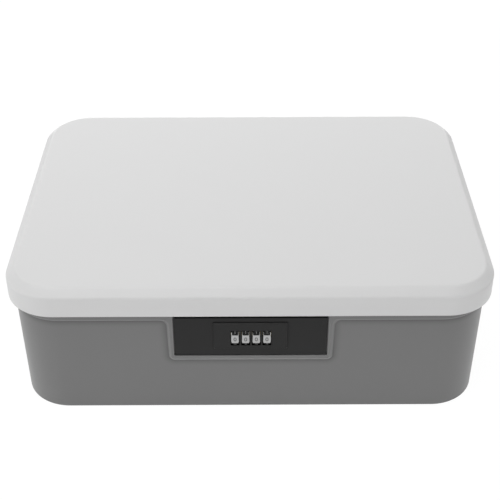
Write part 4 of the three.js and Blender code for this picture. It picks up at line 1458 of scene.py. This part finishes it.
@dataclass
class Screws:
    """Small pan-head screws with a cross recess and a rolled thread."""

    head_radius: float = 2.1 * MM
    head_height: float = 1.3 * MM
    dome: float = 0.75 * MM
    dome_start: float = 1.26 * MM
    dome_steps: int = 5
    core: float = 0.1 * MM
    shank_radius: float = 1.1 * MM
    thread_depth: float = 0.2 * MM
    pitch: float = 0.8 * MM
    rings_per_turn: int = 8
    tip_share: float = 0.35
    recess_width: float = 0.5 * MM
    recess_length: float = 2.4 * MM
    recess_depth: float = 0.7 * MM
    sides: int = 32

    def build(self, nodes: dict[str, str], material: Material) -> None:
        """Builds a fine screw for each CAD screw.

        Args:
            nodes: the body of each screw's node.
            material: the screws' finish.
        """
        for node, body in nodes.items():
            low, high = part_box(node)
            centre = (low + high) / 2
            if node.startswith("strike"):
                head, turn, length = (centre.x, centre.y, low.z), math.pi, high.z - low.z
            elif node.startswith("latch"):
                head, turn, length = (centre.x, centre.y, high.z), 0.0, high.z - low.z
            else:
                head, turn, length = (centre.x, high.y, centre.z), -math.pi / 2, high.y - low.y
            screw = self.screw(length, Matrix.Translation(head) @ Matrix.Rotation(turn, 4, "X"))
            dress(screw.finished(node + "_fine"), material, body, "screw_zinc", node)

    def screw(self, length: float, seat: Matrix) -> Solid:
        """One screw with the top of its head at the seat, and its shank below.

        The shank's radius falls and rises with the fraction of (depth / pitch - angle / turn), which
        winds the thread round it.

        Args:
            length: from the head's top to the shank's end.
            seat: where it goes.

        Returns:
            The screw.
        """
        angles = np.arange(self.sides) * 2 * math.pi / self.sides
        corners = [
            (0, self.core, 0),
            (0, self.dome_start, self.dome),
            (-self.dome, self.head_radius, self.dome / 2),
            (-self.head_height, self.head_radius, 0),
            (-self.head_height, self.shank_radius, 0),
        ]
        head = softened(corners, self.dome_steps)
        count = int((length - self.head_height) / self.pitch * self.rings_per_turn)
        depth = np.linspace(self.head_height, length, count + 1)[1:]
        turns = depth[:, None] / self.pitch - angles[None, :] / (2 * math.pi)
        ridge = np.abs(2 * (turns % 1) - 1)
        fade = np.clip((length - depth) / self.pitch, self.tip_share, 1)[:, None]
        shank = (self.shank_radius - self.thread_depth * (1 - ridge)) * fade
        radius = np.vstack([np.repeat(head[:, 1:2], self.sides, axis=1), shank])
        height = np.concatenate([head[:, 0], -depth])
        made = turned(height, radius, (0, 0, 0), Axis.Z, self.sides)
        long, short = self.recess_length / 2, self.recess_width / 2
        for x, y in ((long, short), (short, long)):
            made.work(Joining.CUT, block((-x, -y, -self.recess_depth), (x, y, PAST)))
        for solid in (made, *made.tools):
            solid.object.data.transform(seat)
        return made


@dataclass
class ResetSpring:
    """The coil that pushes the code sleeves back: a round wire carried along a helix."""

    turns: float = 3.0
    wire: float = 0.7 * MM
    travel: float = 2.2 * MM
    steps_per_turn: int = 36
    sides: int = 14

    def build(self, material: Material) -> None:
        """Builds the coil inside the CAD coil's box.

        The wire's middle runs at (x0 + pitch * t, radius * cos 2 pi t, radius * sin 2 pi t), and its
        section is drawn on the helix's own normal and binormal.

        Args:
            material: its finish.
        """
        low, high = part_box("reset_spring")
        radius = (high.z - low.z) / 2 - self.wire / 2
        start = low.x + self.wire / 2
        pitch = (high.x - low.x - self.wire) / self.turns
        t = np.linspace(0, self.turns, int(self.turns * self.steps_per_turn) + 1)
        angle = 2 * math.pi * t
        centre = np.array([0, (low.y + high.y) / 2, (low.z + high.z) / 2])
        outward = np.column_stack([np.zeros_like(t), np.cos(angle), np.sin(angle)])
        path = centre + outward * radius
        path[:, 0] += start + pitch * t
        speed = 2 * math.pi * radius
        run = np.column_stack([np.full_like(t, pitch), -speed * np.sin(angle), speed * np.cos(angle)])
        run /= np.linalg.norm(run, axis=1, keepdims=True)
        sideways = np.cross(run, outward)
        section = np.arange(self.sides)[None, :, None] * 2 * math.pi / self.sides
        across = np.cos(section) * outward[:, None, :] + np.sin(section) * sideways[:, None, :]
        rings = path[:, None, :] + self.wire / 2 * across
        spring = lofted(rings).finished("reset_spring_coil")
        dress(spring, material, "lock_slide", "steel", "reset_spring")
        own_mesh(spring)


def sheet(name: str, half: Pair, place: Matrix) -> bpy.types.Object:
    """A flat rectangle, as part of the studio.

    Args:
        name: its name.
        half: half its width and height.
        place: where it goes from lying flat at the origin.

    Returns:
        The rectangle.
    """
    x, y = half
    mesh = bpy.data.meshes.new(name)
    mesh.from_pydata([(-x, -y, 0), (x, -y, 0), (x, y, 0), (-x, y, 0)], [], [(0, 1, 2, 3)])
    mesh.transform(place)
    return placed(name, mesh)


@dataclass(frozen=True)
class Panel:
    """A soft light panel that faces the box. At a strength of 1 its face is white."""

    name: str
    place: Triple
    size: Pair
    strength: float

    def build(self, target: Triple) -> None:
        """Hangs the panel.

        Args:
            target: what it faces.
        """
        data = bpy.data.lights.new(self.name, "AREA")
        data.shape = "RECTANGLE"
        data.size, data.size_y = self.size
        data.energy = self.strength * math.pi * self.size[0] * self.size[1]
        light = placed(self.name, data)
        aim = (Vector(target) - Vector(self.place)).to_track_quat("-Z", "Y")
        light.matrix_world = Matrix.Translation(self.place) @ aim.to_matrix().to_4x4()
        light.visible_camera = False


@dataclass
class Studio:
    """The camera, the pale floor and the soft lights."""

    picture_width: float = 500.0
    focal_pixels: float = 1071.1
    sensor: float = 36.0
    elevation: float = 34.849
    roll: float = -0.225
    distance: float = 0.92574
    target: Triple = (0.16 * MM, -1.2 * MM, 57.711 * MM)
    floor_size: float = 12.0
    floor_shadow: float = 0.1
    floor_glow: float = 0.31
    floor_lift: float = 0.3  # how much more the floor glows where it shows
    floor_colour: tuple[float, ...] = (0.9, 0.9, 0.9, 1.0)
    world_light: float = 0.1
    room_half: Pair = (1.1, 0.28)
    room_distance: float = 1.6
    room_tilt: float = 1.0
    room_glow: float = 0.03
    panels: tuple[Panel, ...] = (
        Panel("top_panel", (-0.3, -0.2, 1.6), (1.6, 1.4), 2.34),
        Panel("front_strip", (0.0, -0.85, 1.25), (1.6, 0.25), 1.2),
        Panel("back_panel", (0.0, 1.3, 0.5), (2.0, 0.8), 1.36),
        Panel("left_panel", (-1.3, -0.1, 0.25), (1.4, 0.5), 0.3),
        Panel("left_front_panel", (-1.2, -1.0, 0.5), (0.9, 0.9), 1.05),
        Panel("right_front_panel", (1.2, -1.0, 0.5), (0.9, 0.9), 0.45),
        Panel("right_panel", (1.3, -0.1, 0.25), (1.4, 0.5), 0.26),
        Panel("right_high_panel", (1.4, -0.1, 0.9), (1.0, 0.8), 0.4),
    )

    def camera(self) -> None:
        """Puts the camera at the photograph's angle."""
        data = bpy.data.cameras.new("camera")
        data.sensor_width = self.sensor
        data.lens = self.sensor * self.focal_pixels / self.picture_width
        data.clip_start = 10 * MM
        camera = placed("camera", data)
        up_tilt = Matrix.Rotation(math.radians(90 - self.elevation), 4, "X")
        rolled = Matrix.Rotation(math.radians(self.roll), 4, "Z")
        away = Matrix.Translation((0, 0, self.distance))
        camera.matrix_world = Matrix.Translation(self.target) @ up_tilt @ rolled @ away
        bpy.context.scene.camera = camera

    def world(self) -> None:
        """White all round for the camera and for gloss, and a weaker even light for everything else."""
        world = bpy.data.worlds.new("studio")
        bpy.context.scene.world = world
        world.use_nodes = True
        recipe = Recipe(world.node_tree)
        strength = self.seen(recipe) * (1.0 - self.world_light) + self.world_light
        background = recipe.node("ShaderNodeBackground", {"Color": WHITE, "Strength": strength})
        recipe.node("ShaderNodeOutputWorld", {"Surface": background})

    @staticmethod
    def seen(recipe: Recipe) -> Wire:
        """Tells the rays that show the studio from those that light it.

        Args:
            recipe: the nodes that need to know.

        Returns:
            1 for what the camera sees, in a mirror or through glass too, and else 0.
        """
        rays = ("Is Camera Ray", "Is Glossy Ray", "Is Transmission Ray")
        camera, glossy, clear = (recipe.node("ShaderNodeLightPath", output=ray) for ray in rays)
        return (camera + glossy).at_least(clear)

    def floor(self) -> None:
        """A white floor that keeps a little of the box's shadow."""
        floor = sheet("floor", (self.floor_size / 2, self.floor_size / 2), Matrix())
        material, recipe = new_material("floor_white")
        matt = recipe.node("ShaderNodeBsdfDiffuse", {"Color": self.floor_colour})
        even = recipe.glow(self.seen(recipe) * self.floor_lift + self.floor_glow)
        lit = recipe.node("ShaderNodeAddShader", {0: matt, 1: even})
        share = self.seen(recipe) * (1.0 - self.floor_shadow)
        mixed = recipe.node("ShaderNodeMixShader", {0: share, 1: lit, 2: recipe.glow(1.0)})
        recipe.node("ShaderNodeOutputMaterial", {"Surface": mixed})
        floor.data.materials.append(material)

    def dark_room(self) -> None:
        """The dark room behind the camera, which only shiny surfaces see."""
        tilt = math.radians(self.elevation + self.room_tilt)
        place = Vector((0, -math.cos(tilt), math.sin(tilt))) * self.room_distance
        upright = Matrix.Rotation(math.pi / 2 - tilt, 4, "X")
        card = sheet("dark_room", self.room_half, Matrix.Translation(place) @ upright)
        material, recipe = new_material("dark_room")
        recipe.node("ShaderNodeOutputMaterial", {"Surface": recipe.glow(self.room_glow)})
        card.data.materials.append(material)
        card.visible_camera = False
        card.visible_diffuse = False
        card.visible_shadow = False
        card.visible_transmission = False

    def build(self) -> None:
        """Builds the whole studio."""
        bpy.context.scene.view_settings.view_transform = "Standard"
        self.camera()
        self.world()
        self.floor()
        self.dark_room()
        for panel in self.panels:
            panel.build(self.target)


def dress_inner_nodes(materials: dict[str, Material]) -> None:
    """Gives every CAD node that stays its finish.

    Args:
        materials: the finish of each of the record's slots.
    """
    slots = {part["node"]: part["material_slot"] for part in frame["record"]["subparts"]}
    for name, node in frame["nodes"].items():
        if node.hide_render:
            continue
        node.data.materials.clear()
        node.data.materials.append(materials[slots[name]])
        LOG.info("%s keeps its form, in %s", name, slots[name])


def main() -> None:
    """Builds the safe piece by piece."""
    logging.basicConfig(level=logging.INFO, format="%(name)s %(message)s")
    Studio().build()
    hinges = Hinges()
    lock = LockFront()
    dials = DialRow()
    tub = Tub()
    materials = {
        "lid_white": LID_FINISH.material(),
        # the body's grey carries painted shade in the creases and a painted highlight on the edges of the
        # band and frame
        "body_grey": BODY_FINISH.material(lambda recipe: tub.tone(recipe, lock)),
        "lock_black": PLATE_FINISH.material(),
        "inner_black": INNER_FINISH.material(),
        "dial_chrome": DIAL_FINISH.material(),
        "steel": STEEL_FINISH.material(),
        "screw_zinc": SCREW_FINISH.material(),
        "brass": BRASS_FINISH.material(),
    }
    LidCover().build(hinges, materials["lid_white"])
    tub.build(hinges, lock, materials["body_grey"])
    hinges.pins(materials["steel"])
    lock.faceplate(materials["lock_black"])
    lock.sliding_block(dials, materials["lock_black"])
    dials.build(materials["dial_chrome"], FIGURE_FINISH.material())
    bodies = frame["record"]["behaviour"]["bodies"]
    screws = {node: body for body, nodes in bodies.items() for node in nodes if "screw" in node}
    Screws().build(screws, materials["screw_zinc"])
    ResetSpring().build(materials["steel"])
    dress_inner_nodes(materials)


if __name__ == "__main__":
    main()
